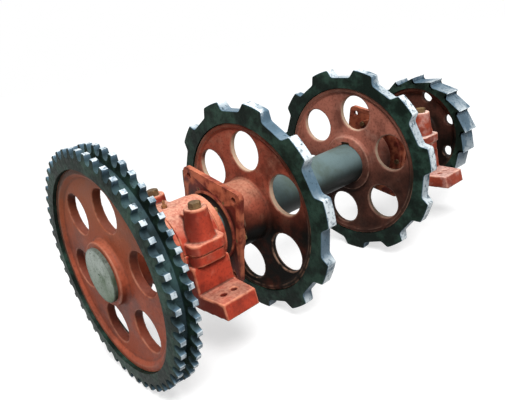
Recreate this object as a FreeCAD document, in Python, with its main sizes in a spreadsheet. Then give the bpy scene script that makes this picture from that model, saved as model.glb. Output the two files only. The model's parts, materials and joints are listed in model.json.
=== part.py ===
import FreeCAD, Part
import Sketcher
import math
import os

# Head shaft of a chain bucket elevator. The shaft lies along Y, in two split bearing blocks whose feet
# stand on the plane Z = 0. A two-row drive sprocket sits on the -Y end, two elevator chain wheels between
# the blocks and a ratchet wheel on the +Y end. The origin is in the middle of the drive side block's feet.

doc = FreeCAD.newDocument("ElevatorHeadShaft")
sheet = doc.addObject("Spreadsheet::Sheet", "Sizes")

Y_AXIS = FreeCAD.Vector(0, 1, 0)
ALONG_Y = FreeCAD.Rotation(FreeCAD.Vector(1, 0, 0), -90)
AGAINST_Y = FreeCAD.Rotation(FreeCAD.Vector(1, 0, 0), 90)
UPRIGHT = FreeCAD.Rotation()
DRIVE = "drive_side"
RATCHET = "ratchet_side"


class Dim:
    """A size: the expression that binds it to the sheet, and its value in millimetres or degrees."""

    def __init__(self, text, value):
        self.text = text
        self.value = value

    def __add__(self, other):
        return combine(self, "+", other, self.value + number(other))

    def __radd__(self, other):
        return combine(other, "+", self, number(other) + self.value)

    def __sub__(self, other):
        return combine(self, "-", other, self.value - number(other))

    def __rsub__(self, other):
        return combine(other, "-", self, number(other) - self.value)

    def __mul__(self, other):
        return combine(self, "*", other, self.value * number(other))

    def __rmul__(self, other):
        return combine(other, "*", self, number(other) * self.value)

    def __truediv__(self, other):
        return combine(self, "/", other, self.value / number(other))

    def __rtruediv__(self, other):
        return combine(other, "/", self, number(other) / self.value)

    def __neg__(self):
        return 0 - self


def number(size):
    return size.value if isinstance(size, Dim) else float(size)


def words(size):
    return size.text if isinstance(size, Dim) else "%.6g" % size


def combine(left, sign, right, value):
    return Dim("(%s %s %s)" % (words(left), sign, words(right)), value)


def sine(angle):
    return Dim("sin(%s)" % words(angle), math.sin(math.radians(number(angle))))


def cosine(angle):
    return Dim("cos(%s)" % words(angle), math.cos(math.radians(number(angle))))


def tangent(angle):
    return Dim("tan(%s)" % words(angle), math.tan(math.radians(number(angle))))


def arc_tangent(ratio):
    return Dim("atan(%s)" % words(ratio), math.degrees(math.atan(number(ratio))))


def square_root(square):
    return Dim("sqrt(%s)" % words(square), math.sqrt(number(square)))


rows_used = 0


def size(alias, value, note):
    """Writes one driving dimension to the sheet and returns it."""
    global rows_used
    rows_used += 1
    cell = "A%d" % rows_used
    sheet.set(cell, str(value))
    sheet.setAlias(cell, alias)
    sheet.set("B%d" % rows_used, note)
    return Dim("Sizes." + alias, float(value))


# Fits
seat_gap = size("seat_gap", 0.02, "radial gap of a part that is shrunk or pressed on another")
slip_gap = size("slip_gap", 0.05, "radial gap of a screw, spigot or key in its place")
roll_gap = size("roll_gap", 0.12, "gap between a roller and its raceways")
felt_gap = size("felt_gap", 0.3, "radial gap between a felt ring and the shaft")
pass_gap = size("pass_gap", 1.0, "radial gap of a cover bore round the shaft")
face_gap = size("face_gap", 0.1, "axial gap between parts that stand face to face")
end_draw = size("end_draw", 2.0, "how far a shaft end stops short of the hub that its end plate draws up")

# Layout along the shaft
shaft_height = size("shaft_height", 120, "shaft axis above the feet")
near_plate_gap = size("near_plate_gap", 9, "drive side block cover to its seal plate")
far_plate_gap = size("far_plate_gap", 39, "ratchet side block cover to its seal plate")
wheel_spacing = size("wheel_spacing", 389, "between the two chains")
hub_gap = size("hub_gap", 11.5, "gland screws to the hub of the chain wheel")
drive_gap = size("drive_gap", 46, "drive side block cover to the hub of the sprocket")
ratchet_gap = size("ratchet_gap", 11, "ratchet side block cover to the hub of the ratchet wheel")

# Shaft
bearing_bore = size("bearing_bore", 80, "bearing seat and nut thread")
wheel_shoulder = size("wheel_shoulder", 7.5, "step from the bearing shoulder up to the chain wheel seats")
bearing_shoulder = size("bearing_shoulder", 7.5, "step from the bearing seat up to its shoulder")
cover_step = size("cover_step", 1.0, "step from the nut thread down to the shaft under the outer covers")
end_step = size("end_step", 1.5, "step down to the seats of the sprocket and the ratchet wheel")
thread_over = size("thread_over", 2.0, "thread length beyond the lock nut")
shoulder_over = size("shoulder_over", 2.0, "how far the wheel seat runs past the wheel hub")
journal_dia = bearing_bore + 2 * bearing_shoulder
body_dia = journal_dia + 2 * wheel_shoulder
cover_dia = bearing_bore - 2 * cover_step
end_dia = cover_dia - 2 * end_step

# Drive sprocket for a two-row roller chain
drive_pitch = size("drive_pitch", 31.75, "chain pitch")
drive_teeth = size("drive_teeth", 50, "teeth in each row")
drive_roller = size("drive_roller", 19.05, "chain roller diameter")
row_pitch = size("row_pitch", 35.76, "between the two tooth rows")
drive_tooth_width = size("drive_tooth_width", 17.2, "width of a tooth at its root")
drive_tooth_top = size("drive_tooth_top", 8.4, "tooth tip above the pitch circle")
drive_tooth_bevel = size("drive_tooth_bevel", 2.4, "how much a tooth narrows on each side towards its tip")
drive_flank_angle = size("drive_flank_angle", 9, "lean of a tooth flank from the radius, degrees")
drive_bevel_depth = size("drive_bevel_depth", 3.0, "start of the tooth bevel below the tooth root")
row_groove_depth = size("row_groove_depth", 10.5, "groove between the rows below the tooth root")
drive_rim_thick = size("drive_rim_thick", 22.3, "toothed ring below the tooth root")
drive_phase = size("drive_phase", 7.0, "turn of the toothed ring at rest, degrees")
drive_band = size("drive_band", 12, "radial thickness of the band under the toothed ring")
drive_band_width = size("drive_band_width", 38, "width of that band")
drive_web = size("drive_web", 20, "web thickness")
drive_hole_inner = size("drive_hole_inner", 24, "web between the hub and a hole")
drive_hole_outer = size("drive_hole_outer", 18, "web between a hole and the band")
drive_hole_count = size("drive_hole_count", 6, "web holes")
drive_hole_phase = size("drive_hole_phase", 13.5, "angle of a web hole from +X, degrees")
drive_hub_dia = size("drive_hub_dia", 140, "hub")
drive_hub_flare = size("drive_hub_flare", 5, "how much the hub widens towards the web, on the radius")
drive_hub_front = size("drive_hub_front", 28, "hub face in front of the middle of the rows")
drive_hub_back = size("drive_hub_back", 46, "hub face behind the middle of the rows")
drive_plate_dia = size("drive_plate_dia", 118, "end plate on the drive end")

# Chain wheels
wheel_teeth = size("wheel_teeth", 11, "teeth of a chain wheel")
wheel_tip_dia = size("wheel_tip_dia", 532, "over the teeth")
wheel_tooth_height = size("wheel_tooth_height", 23, "tooth above the gap floor")
wheel_width = size("wheel_width", 30, "rim width")
wheel_tooth_bevel = size("wheel_tooth_bevel", 2.0, "how much a tooth narrows on each side towards its tip")
wheel_bevel_depth = size("wheel_bevel_depth", 8, "start of that bevel above the gap floor")
wheel_gap_floor = size("wheel_gap_floor", 62, "length of a gap floor between the flanks")
wheel_flank_angle = size("wheel_flank_angle", 37, "lean of a flank from the radius, degrees")
wheel_root_round = size("wheel_root_round", 11, "rounding of the gap corners")
wheel_rim_thick = size("wheel_rim_thick", 28, "toothed ring below the gap floor")
wheel_phase = size("wheel_phase", 0.4, "turn of the toothed rings at rest, degrees")
wheel_band = size("wheel_band", 11, "radial thickness of the band under the toothed ring")
wheel_band_width = size("wheel_band_width", 24, "width of that band")
wheel_web = size("wheel_web", 14, "web thickness")
wheel_hole_inner = size("wheel_hole_inner", 17, "web between the hub and a hole")
wheel_hole_outer = size("wheel_hole_outer", 8, "web between a hole and the band")
wheel_hole_count = size("wheel_hole_count", 6, "web holes")
near_hole_phase = size("near_hole_phase", 22.5, "angle of a web hole from +X, drive side wheel, degrees")
far_hole_phase = size("far_hole_phase", 16.4, "angle of a web hole from +X, ratchet side wheel, degrees")
wheel_hub_dia = size("wheel_hub_dia", 156, "hub")
wheel_hub_flare = size("wheel_hub_flare", 5, "how much the hub widens towards the web, on the radius")
wheel_hub_outer = size("wheel_hub_outer", 68, "hub beyond the rim on the block side")
wheel_hub_inner = size("wheel_hub_inner", 4, "hub beyond the rim on the other side")
set_screw_dia = size("set_screw_dia", 12, "set screw over the wheel key")
set_screw_inset = size("set_screw_inset", 20, "set screw from the hub end")
set_screw_sunk = size("set_screw_sunk", 6, "top of the set screw below the hub")
set_screw_socket = size("set_screw_socket", 6, "its hexagon socket across flats")
set_screw_socket_depth = size("set_screw_socket_depth", 6, "depth of that socket")

# Ratchet wheel
ratchet_teeth = size("ratchet_teeth", 17, "saw teeth")
ratchet_tip_dia = size("ratchet_tip_dia", 350, "over the teeth")
ratchet_depth = size("ratchet_depth", 15, "height of a tooth face")
ratchet_undercut = size("ratchet_undercut", 5, "lean of a tooth face from the radius, degrees")
ratchet_width = size("ratchet_width", 66, "rim width")
ratchet_rim_thick = size("ratchet_rim_thick", 16, "toothed ring below the tooth root")
ratchet_phase = size("ratchet_phase", 1.2, "turn of the toothed ring at rest, degrees")
ratchet_web = size("ratchet_web", 18, "web thickness")
ratchet_hole_dia = size("ratchet_hole_dia", 34, "web hole")
ratchet_hole_outer = size("ratchet_hole_outer", 1.0, "web between a hole and the band")
ratchet_hole_count = size("ratchet_hole_count", 7, "web holes")
ratchet_hole_phase = size("ratchet_hole_phase", 21, "angle of a web hole from +X, degrees")
ratchet_band = size("ratchet_band", 8, "radial thickness of the band under the toothed ring")
ratchet_band_width = size("ratchet_band_width", 50, "width of that band")
ratchet_hub_dia = size("ratchet_hub_dia", 124, "hub")
ratchet_hub_flare = size("ratchet_hub_flare", 5, "how much the hub widens towards the web, on the radius")
ratchet_hub_inner = size("ratchet_hub_inner", 38, "hub face on the block side of the middle")
ratchet_hub_outer = size("ratchet_hub_outer", 36, "hub face on the free side of the middle")
ratchet_plate_dia = size("ratchet_plate_dia", 105, "end plate on the ratchet end")

# Keys, end plates and their screws
wheel_key_width = size("wheel_key_width", 28, "chain wheel key width")
wheel_key_height = size("wheel_key_height", 16, "chain wheel key height")
wheel_key_length = size("wheel_key_length", 84, "chain wheel key length")
wheel_key_sunk = size("wheel_key_sunk", 10, "depth of its seat in the shaft")
end_key_width = size("end_key_width", 20, "sprocket and ratchet key width")
end_key_height = size("end_key_height", 12, "sprocket and ratchet key height")
end_key_length = size("end_key_length", 60, "sprocket and ratchet key length")
end_key_sunk = size("end_key_sunk", 7.5, "depth of its seat in the shaft")
end_plate_thick = size("end_plate_thick", 8, "end plate")
end_plate_chamfer = size("end_plate_chamfer", 1.5, "chamfer of an end plate")
end_screw_dia = size("end_screw_dia", 16, "end plate screw")
end_screw_head = size("end_screw_head", 30, "its countersunk head")
end_screw_length = size("end_screw_length", 40, "its length with the head")
end_screw_socket = size("end_screw_socket", 10, "its hexagon socket across flats")
end_screw_socket_depth = size("end_screw_socket_depth", 5, "depth of that socket")

# Spherical roller bearings
bearing_od = size("bearing_od", 140, "bearing outside diameter")
bearing_width = size("bearing_width", 33, "bearing width")
ring_wall = size("ring_wall", 7.4, "radial room for each ring beside a roller")
roller_spread = size("roller_spread", 8.2, "roller middle from the middle of the bearing")
roller_out = size("roller_out", 0.2, "roller middle outside the middle of the two rings")
roller_length = size("roller_length", 12, "roller length")
roller_room = size("roller_room", 3.9, "room for the cage between neighbouring rollers")
race_curve = size("race_curve", 60, "radius of the barrel curve along a roller")
inner_lip_drop = size("inner_lip_drop", 6, "lip of the inner ring below the roller middles")
cage_wall = size("cage_wall", 6.4, "radial thickness of the cage")
cage_width = size("cage_width", 31, "cage width")
pocket_gap = size("pocket_gap", 0.25, "gap round a roller in its pocket")
nut_wall = size("nut_wall", 12.5, "lock nut wall")
nut_width = size("nut_width", 19, "lock nut width")
nut_slot_width = size("nut_slot_width", 10, "slot for the hook spanner")
nut_slot_depth = size("nut_slot_depth", 4, "depth of that slot")
nut_slots = size("nut_slots", 4, "slots round the nut")
tab_washer_wall = size("tab_washer_wall", 8, "lock washer wall")
tab_washer_thick = size("tab_washer_thick", 1.8, "lock washer thickness")
roller_pitch_dia = (bearing_od + bearing_bore) / 2 + 2 * roller_out
roller_dia = (bearing_od - bearing_bore) / 2 - 2 * ring_wall
roller_count = math.floor(math.pi * number(roller_pitch_dia) / number(roller_dia + roller_room))
inner_ring_lip = roller_pitch_dia - 2 * inner_lip_drop
nut_dia = bearing_bore + 2 * nut_wall
tab_washer_dia = bearing_bore + 2 * tab_washer_wall

# Bearing blocks
barrel_wall = size("barrel_wall", 16, "wall of the bearing barrel")
barrel_length = size("barrel_length", 100, "barrel from cover to cover")
bolt_wall = size("bolt_wall", 5, "metal between a cap bolt and the bearing")
boss_dia = size("boss_dia", 50, "cap bolt boss at its top")
boss_root_dia = size("boss_root_dia", 66, "cap bolt boss at the split")
boss_height = size("boss_height", 93, "boss top above the shaft axis")
bridge_height = size("bridge_height", 76, "top of the rib from boss to barrel, above the shaft axis")
bridge_width = size("bridge_width", 34, "width of that rib")
spot_dia = size("spot_dia", 34, "spot face under a bolt head")
spot_depth = size("spot_depth", 2.5, "depth of the spot face")
cap_flange = size("cap_flange", 24, "thickness of the cap flange at the split")
cap_flange_over = size("cap_flange_over", 3, "how far the flange stands beyond the boss")
flange_corner = size("flange_corner", 18, "rounding of the flange corners")
flange_inset = size("flange_inset", 5, "cap flange inside the pedestal, along the shaft")
base_flange = size("base_flange", 26, "thickness of the base flange at the split")
base_flange_under = size("base_flange_under", 3, "how far the base flange stays inside the cap flange")
pedestal_inset = size("pedestal_inset", 11, "pedestal inside the bosses, under its flange")
pedestal_flare = size("pedestal_flare", 5, "how much the pedestal widens down to the feet")
pedestal_width = size("pedestal_width", 96, "pedestal along the shaft")
foot_reach = size("foot_reach", 80, "foot beyond the pedestal")
foot_over = size("foot_over", 1, "how far the feet stand beyond the pedestal, along the shaft")
foot_width = size("foot_width", 85, "feet along the shaft, at their ends")
foot_thick = size("foot_thick", 35, "thickness of the feet")
foot_slope = size("foot_slope", 7, "lean of the foot end over its thickness")
foot_hole_dia = size("foot_hole_dia", 14, "bolt hole in the feet")
foot_hole_inset = size("foot_hole_inset", 43, "bolt hole from the end of a foot")
foot_hole_pair = size("foot_hole_pair", 28, "between the bolt holes along the shaft")
core_length = size("core_length", 170, "hollow under the pedestal, across the shaft")
core_width = size("core_width", 50, "hollow under the pedestal, along the shaft")
core_height = size("core_height", 32, "height of that hollow")
cap_bolt_dia = size("cap_bolt_dia", 16, "cap bolt")
cap_bolt_flats = size("cap_bolt_flats", 24, "cap bolt head across flats")
cap_bolt_head = size("cap_bolt_head", 10, "cap bolt head height")
cap_bolt_turn = size("cap_bolt_turn", 12, "turn of the bolt heads, degrees")
cap_bolt_grip = size("cap_bolt_grip", 34, "cap bolt thread in the base")
cap_bolt_blind = size("cap_bolt_blind", 10, "tapped hole beyond the end of the cap bolt")
cap_bolt_play = size("cap_bolt_play", 0.6, "radial play of a cap bolt in the cap")
washer_thick = size("washer_thick", 3.5, "spring washer under a cap bolt")
washer_dia = size("washer_dia", 27, "spring washer")
dowel_dia = size("dowel_dia", 8, "dowel between base and cap")
dowel_length = size("dowel_length", 24, "dowel length")
dowel_side = size("dowel_side", 19, "dowel beside the cap bolt, along the shaft")
nipple_dia = size("nipple_dia", 10, "grease nipple thread")
nipple_flats = size("nipple_flats", 11, "grease nipple hexagon")
nipple_hex = size("nipple_hex", 6, "height of that hexagon")
nipple_neck = size("nipple_neck", 5, "neck diameter of the nipple")
nipple_head = size("nipple_head", 6.5, "head of the nipple")
nipple_height = size("nipple_height", 11, "nipple above its hexagon")
nipple_shift = size("nipple_shift", 24, "nipple from the middle of the block, towards its outer cover")
nipple_spot_dia = size("nipple_spot_dia", 20, "spot face under the nipple")
nipple_spot_depth = size("nipple_spot_depth", 1.5, "depth of that spot face below the crown")
oil_hole_dia = size("oil_hole_dia", 5, "grease hole under the nipple")
nipple_thread = size("nipple_thread", 9, "thread length of the nipple")
barrel_dia = bearing_od + 2 * barrel_wall
boss_offset = bearing_od / 2 + cap_bolt_dia / 2 + bolt_wall
pedestal_top = boss_offset + boss_root_dia / 2 - pedestal_inset
pedestal_foot = pedestal_top + pedestal_flare
foot_length = 2 * (pedestal_foot + foot_reach)
foot_hole_span = foot_length - 2 * foot_hole_inset

# Bearing covers and felt rings
cover_flange_inset = size("cover_flange_inset", 2, "cover flange inside the barrel")
cover_flange_thick = size("cover_flange_thick", 14, "cover flange thickness")
cover_neck_dia = size("cover_neck_dia", 132, "raised middle of a cover")
cover_neck = size("cover_neck", 8, "height of that raised middle")
cover_floor = size("cover_floor", 12, "cover floor round the shaft, inside the flange plane")
spigot_wall = size("spigot_wall", 9, "wall of the spigot that holds the outer ring")
felt_width = size("felt_width", 9, "felt ring width")
felt_depth = size("felt_depth", 9, "felt ring radial thickness")
cover_screw_dia = size("cover_screw_dia", 8, "cover screw")
cover_screw_flats = size("cover_screw_flats", 13, "cover screw head across flats")
cover_screw_head = size("cover_screw_head", 5.3, "cover screw head height")
cover_screw_grip = size("cover_screw_grip", 16, "cover screw thread in the block")
cover_screw_count = size("cover_screw_count", 4, "screws in each cover")
cover_flange_dia = barrel_dia - 2 * cover_flange_inset
cover_screw_pcd = (bearing_od + cover_flange_dia) / 2

# Seal plates
plate_side = size("plate_side", 4, "plate beyond the gland ring at its sides")
plate_end = size("plate_end", 21, "plate beyond the gland ring at its ends")
plate_thick = size("plate_thick", 12, "seal plate thickness")
plate_corner = size("plate_corner", 14, "corner rounding")
plate_turn = size("plate_turn", 13, "turn of the loose seal plates on the shaft at rest, degrees")
plate_bore = size("plate_bore", 160, "opening in the plate")
lip_wall = size("lip_wall", 6, "wall of the raised lip round the opening")
lip_height = size("lip_height", 5, "height of that lip")
plate_hole_dia = size("plate_hole_dia", 16, "bolt hole in a corner")
plate_hole_side = size("plate_hole_side", 21, "corner hole from the side of the plate")
plate_hole_end = size("plate_hole_end", 20, "corner hole from the end of the plate")
seal_felt_width = size("seal_felt_width", 8, "felt ring in the plate")
gland_wall = size("gland_wall", 17, "gland ring beyond the opening of the plate")
gland_thick = size("gland_thick", 8, "gland ring thickness")
gland_screw_dia = size("gland_screw_dia", 8, "gland screw")
gland_screw_ring = size("gland_screw_ring", 9, "gland screw from the opening of the plate")
gland_screw_count = size("gland_screw_count", 6, "screws in each gland ring")
gland_screw_flats = size("gland_screw_flats", 13, "gland screw head across flats")
gland_screw_head = size("gland_screw_head", 5.3, "gland screw head height")
gland_dia = plate_bore + 2 * gland_wall
gland_screw_pcd = plate_bore + 2 * gland_screw_ring
plate_width = gland_dia + 2 * plate_side
plate_height = gland_dia + 2 * plate_end
plate_hole_x = plate_width - 2 * plate_hole_side
plate_hole_z = plate_height - 2 * plate_hole_end
doc.recompute()

# Places worked out from the layout, from the drive side block to the ratchet wheel
half_bearing = bearing_width / 2
nut_start = half_bearing + tab_washer_thick
nut_end = nut_start + nut_width
cover_reach = barrel_length / 2 + cover_flange_thick + cover_neck
seal_depth = lip_height + plate_thick + gland_thick + gland_screw_head + 2 * face_gap
hub_reach = wheel_width / 2 + wheel_hub_outer
near_lip = cover_reach + near_plate_gap
near_plate_mid = near_lip + lip_height + plate_thick / 2
near_hub_end = near_lip + seal_depth + hub_gap
near_wheel_mid = near_hub_end + hub_reach
far_wheel_mid = near_wheel_mid + wheel_spacing
far_hub_end = far_wheel_mid + hub_reach
far_lip = far_hub_end + hub_gap + seal_depth
far_plate_mid = far_lip - lip_height - plate_thick / 2
block_span = far_lip + far_plate_gap + cover_reach
drive_block_mid = 0
ratchet_block_mid = block_span
drive_shoulder = -(cover_reach + drive_gap)
drive_mid = drive_shoulder - drive_hub_back
drive_face = drive_mid - drive_hub_front
ratchet_shoulder = block_span + cover_reach + ratchet_gap
ratchet_mid = ratchet_shoulder + ratchet_hub_inner
ratchet_face = ratchet_mid + ratchet_hub_outer

# Wheels, from their teeth inwards
drive_pitch_radius = drive_pitch / sine(180 / drive_teeth) / 2
drive_root_radius = drive_pitch_radius - drive_roller / 2
drive_tip_radius = drive_pitch_radius + drive_tooth_top
drive_rim_bore = 2 * (drive_root_radius - drive_rim_thick)
drive_hub_root = drive_hub_dia + 2 * drive_hub_flare
wheel_root_dia = wheel_tip_dia - 2 * wheel_tooth_height
wheel_rim_bore = wheel_root_dia - 2 * wheel_rim_thick
wheel_hub_root = wheel_hub_dia + 2 * wheel_hub_flare
ratchet_rim_bore = ratchet_tip_dia - 2 * ratchet_depth - 2 * ratchet_rim_thick
ratchet_hub_root = ratchet_hub_dia + 2 * ratchet_hub_flare


def web_holes(hub_root, inner, rim_bore, band, outer):
    """Diameter and circle of holes that leave a strip of web by the hub and another by the band."""
    start = hub_root / 2 + inner
    stop = rim_bore / 2 - band - outer
    return stop - start, start + stop


drive_hole_dia, drive_hole_pcd = web_holes(
    drive_hub_root, drive_hole_inner, drive_rim_bore, drive_band, drive_hole_outer)
wheel_hole_dia, wheel_hole_pcd = web_holes(
    wheel_hub_root, wheel_hole_inner, wheel_rim_bore, wheel_band, wheel_hole_outer)
ratchet_hole_pcd = ratchet_rim_bore - 2 * (ratchet_band + ratchet_hole_outer) - ratchet_hole_dia

parts = []


def bind(obj, prop, value):
    """Ties a property to a size, or sets it where it is a plain number."""
    if isinstance(value, Dim):
        obj.setExpression(prop, value.text)
    elif prop.startswith("Placement.Base."):
        obj.setExpression(prop, "%.6g" % value)
    else:
        setattr(obj, prop, value)


def place(obj, base, rotation=UPRIGHT):
    """Puts an object at a point given by three sizes."""
    obj.Placement = FreeCAD.Placement(FreeCAD.Vector(0, 0, 0), rotation)
    for letter, value in zip("xyz", base):
        bind(obj, "Placement.Base." + letter, value)
    return obj


def keep(obj, label):
    """Names an object as a sub-part that is written out."""
    obj.Label = label
    parts.append(obj)
    return obj


def box(length, width, height, corner):
    obj = doc.addObject("Part::Box", "Block")
    bind(obj, "Length", length)
    bind(obj, "Width", width)
    bind(obj, "Height", height)
    return place(obj, corner)


def middle_box(length, width, bottom, top, y_mid=0, x_mid=0):
    """A block that is centred on a point in X and Y, from one height to another."""
    corner = (x_mid - length / 2, y_mid - width / 2, bottom)
    return box(length, width, top - bottom, corner)


def rounded_slab(length, width, bottom, top, corner, y_mid):
    """A centred block with rounded upright edges."""
    x_mid = length / 2 - corner
    y_side = width / 2 - corner
    pieces = [
        middle_box(length - 2 * corner, width, bottom, top, y_mid),
        middle_box(length, width - 2 * corner, bottom, top, y_mid),
    ]
    for x in (-x_mid, x_mid):
        for y in (y_mid - y_side, y_mid + y_side):
            pieces.append(cylinder(corner, top - bottom, (x, y, bottom)))
    return fuse(pieces)


def cylinder(radius, length, base, rotation=UPRIGHT, angle=360):
    obj = doc.addObject("Part::Cylinder", "Round")
    bind(obj, "Radius", radius)
    bind(obj, "Height", length)
    obj.Angle = angle
    return place(obj, base, rotation)


def cone(radius_1, radius_2, length, base, rotation=UPRIGHT):
    obj = doc.addObject("Part::Cone", "Taper")
    bind(obj, "Radius1", radius_1)
    bind(obj, "Radius2", radius_2)
    bind(obj, "Height", length)
    return place(obj, base, rotation)


def hexagon(flats, length, base, rotation=UPRIGHT):
    obj = doc.addObject("Part::Prism", "Hexagon")
    obj.Polygon = 6
    bind(obj, "Circumradius", flats / 2 / cosine(30))
    bind(obj, "Height", length)
    return place(obj, base, rotation)


def fuse(pieces):
    obj = doc.addObject("Part::MultiFuse", "Join")
    obj.Shapes = pieces
    obj.Refine = True
    return obj


def common(first, second):
    obj = doc.addObject("Part::MultiCommon", "Common")
    obj.Shapes = [first, second]
    return obj


def cut(base, tools):
    obj = doc.addObject("Part::Cut", "Cut")
    obj.Base = base
    obj.Tool = tools[0] if len(tools) == 1 else fuse(tools)
    obj.Refine = True
    return obj


def new_body(label):
    body = doc.addObject("PartDesign::Body", "Body")
    body.Label = label
    return body


def new_sketch(body, role):
    """A sketch on one of the body's own origin planes."""
    sketch = body.newObject("Sketcher::SketchObject", "Sketch")
    plane = [item for item in body.Origin.OriginFeatures if item.Role == role][0]
    sketch.AttachmentSupport = [(plane, "")]
    sketch.MapMode = "FlatFace"
    return sketch


def pin_point(sketch, geometry, end, point):
    """Ties one end of a sketch line or arc to two sizes, measured from the sketch origin."""
    for kind, axis, value in (("DistanceX", -2, point[0]), ("DistanceY", -1, point[1])):
        if number(value) == 0:
            sketch.addConstraint(Sketcher.Constraint("PointOnObject", geometry, end, axis))
            continue
        rule = Sketcher.Constraint(kind, -1, 1, geometry, end, number(value))
        index = sketch.addConstraint(rule)
        sketch.setExpression("Constraints[%d]" % index, words(value))


def outline(sketch, points):
    """Draws a closed outline. A third entry in a point is the radius of the arc that leads to the next."""
    flat = [FreeCAD.Vector(number(point[0]), number(point[1]), 0) for point in points]
    count = len(points)
    for index, point in enumerate(points):
        start = flat[index]
        stop = flat[(index + 1) % count]
        if len(point) == 2:
            sketch.addGeometry(Part.LineSegment(start, stop), False)
        else:
            sketch.addGeometry(arc_through(start, stop, number(point[2])), False)
    for index, point in enumerate(points):
        following = (index + 1) % count
        is_arc = len(point) == 3
        turned = is_arc and number(point[2]) < 0
        last = 1 if turned else 2
        first = 2 if len(points[following]) == 3 and number(points[following][2]) < 0 else 1
        sketch.addConstraint(Sketcher.Constraint("Coincident", index, last, following, first))
    for index, point in enumerate(points):
        turned = len(point) == 3 and number(point[2]) < 0
        pin_point(sketch, index, 2 if turned else 1, point)
        if len(point) == 3:
            radius = point[2] if number(point[2]) > 0 else -point[2]
            rule = sketch.addConstraint(Sketcher.Constraint("Radius", index, number(radius)))
            sketch.setExpression("Constraints[%d]" % rule, words(radius))


def arc_through(start, stop, radius):
    """The shorter arc between two points, turning left where the radius is positive and right otherwise."""
    chord = stop.sub(start)
    half = chord.Length / 2
    left = FreeCAD.Vector(-chord.y, chord.x, 0).normalize()
    rise = math.sqrt(max(radius * radius - half * half, 0))
    side = 1 if radius > 0 else -1
    centre = start.add(stop).multiply(0.5).add(left.multiply(rise * side))
    first, last = (start, stop) if radius > 0 else (stop, start)
    circle = Part.Circle(centre, FreeCAD.Vector(0, 0, 1), abs(radius))
    begin = math.atan2(first.y - centre.y, first.x - centre.x)
    finish = math.atan2(last.y - centre.y, last.x - centre.x)
    return Part.ArcOfCircle(circle, begin, finish)


def turned_body(label, profile, y_mid):
    """A body turned about the shaft axis from points given as radius and place along the shaft."""
    body = new_body(label)
    sketch = new_sketch(body, "XY_Plane")
    outline(sketch, profile)
    turn = body.newObject("PartDesign::Revolution", "Turn")
    turn.Profile = sketch
    turn.ReferenceAxis = (sketch, ["V_Axis"])
    turn.Angle = 360
    body.Tip = turn
    place(body, (0, y_mid, shaft_height))
    return body


def cut_through(body, points):
    """Cuts an outline, drawn across the shaft, right through a body along the shaft."""
    sketch = new_sketch(body, "XZ_Plane")
    outline(sketch, points)
    return pocket(body, sketch)


def pocket(body, sketch):
    hole = body.newObject("PartDesign::Pocket", "Opening")
    hole.Profile = sketch
    hole.Type = "ThroughAll"
    hole.Midplane = True
    body.Tip = hole
    return hole


def round_holes(body, dia, pcd, count, phase):
    """A ring of holes right through a body along the shaft."""
    sketch = new_sketch(body, "XZ_Plane")
    draw_circle(sketch, 0, pcd / 2 * cosine(phase), pcd / 2 * sine(phase), dia)
    ring_of(body, pocket(body, sketch), sketch, count)


def draw_circle(sketch, index, x, z, dia):
    """Draws a circle as a sketch's next geometry and ties its middle and radius."""
    centre = FreeCAD.Vector(number(x), number(z), 0)
    sketch.addGeometry(Part.Circle(centre, FreeCAD.Vector(0, 0, 1), number(dia) / 2), False)
    pin_point(sketch, index, 3, (x, z))
    rule = sketch.addConstraint(Sketcher.Constraint("Radius", index, number(dia) / 2))
    sketch.setExpression("Constraints[%d]" % rule, words(dia / 2))


def ring_of(body, feature, sketch, count):
    """Repeats a cut evenly round the shaft axis."""
    ring = body.newObject("PartDesign::PolarPattern", "Ring")
    ring.Originals = [feature]
    ring.Axis = (sketch, ["N_Axis"])
    ring.Angle = 360
    bind(ring, "Occurrences", count)
    body.Tip = ring


def teeth(body, gap, count, phase):
    """Cuts the gaps between teeth and turns the finished ring to its place at rest."""
    feature = cut_through(body, gap)
    ring_of(body, feature, feature.Profile[0], count)
    turn_body(body, phase)


def turn_body(body, angle):
    """Turns a body about the shaft direction."""
    body.Placement = FreeCAD.Placement(FreeCAD.Vector(0, 0, 0), FreeCAD.Rotation(Y_AXIS, 0))
    body.setExpression("Placement.Rotation.Axis.y", "1")
    bind(body, "Placement.Rotation.Angle", angle)


def keyway(body, key):
    """A key slot in a bore, open towards the axis, on the +Z side."""
    floor, width, height = key[:3]
    half = width / 2 + slip_gap
    rise = floor + height + slip_gap
    cut_through(body, [(-half, 0), (half, 0), (half, rise), (-half, rise)])


def group(label, master, spots):
    """One sub-part of separate equal solids: a fastener repeated at a list of placements."""
    doc.recompute()
    copies = []
    for where in spots:
        copy = master.Shape.copy()
        copy.Placement = where.multiply(copy.Placement)
        copies.append(copy)
    obj = doc.addObject("Part::Feature", "Group")
    obj.Shape = Part.makeCompound(copies)
    return keep(obj, label)


def spot(x, y, z, rotation=UPRIGHT):
    """A placement at a point given by three sizes."""
    base = FreeCAD.Vector(number(x), number(y), number(z))
    return FreeCAD.Placement(base, rotation)


def circle_spots(pcd, count, start, y, rotation):
    """Placements on a circle round the shaft axis."""
    spots = []
    for index in range(int(number(count))):
        angle = math.radians(start + index * 360 / number(count))
        x = number(pcd) / 2 * math.cos(angle)
        z = number(pcd) / 2 * math.sin(angle) + number(shaft_height)
        spots.append(spot(x, y, z, rotation))
    return spots


def ring_profile(inner, outer, y_from, y_to):
    return [(inner, y_from), (outer, y_from), (outer, y_to), (inner, y_to)]


def ring_body(label, inner, outer, y_from, y_to):
    """A plain ring round the shaft."""
    return keep(turned_body(label, ring_profile(inner, outer, y_from, y_to), 0), label)


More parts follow.
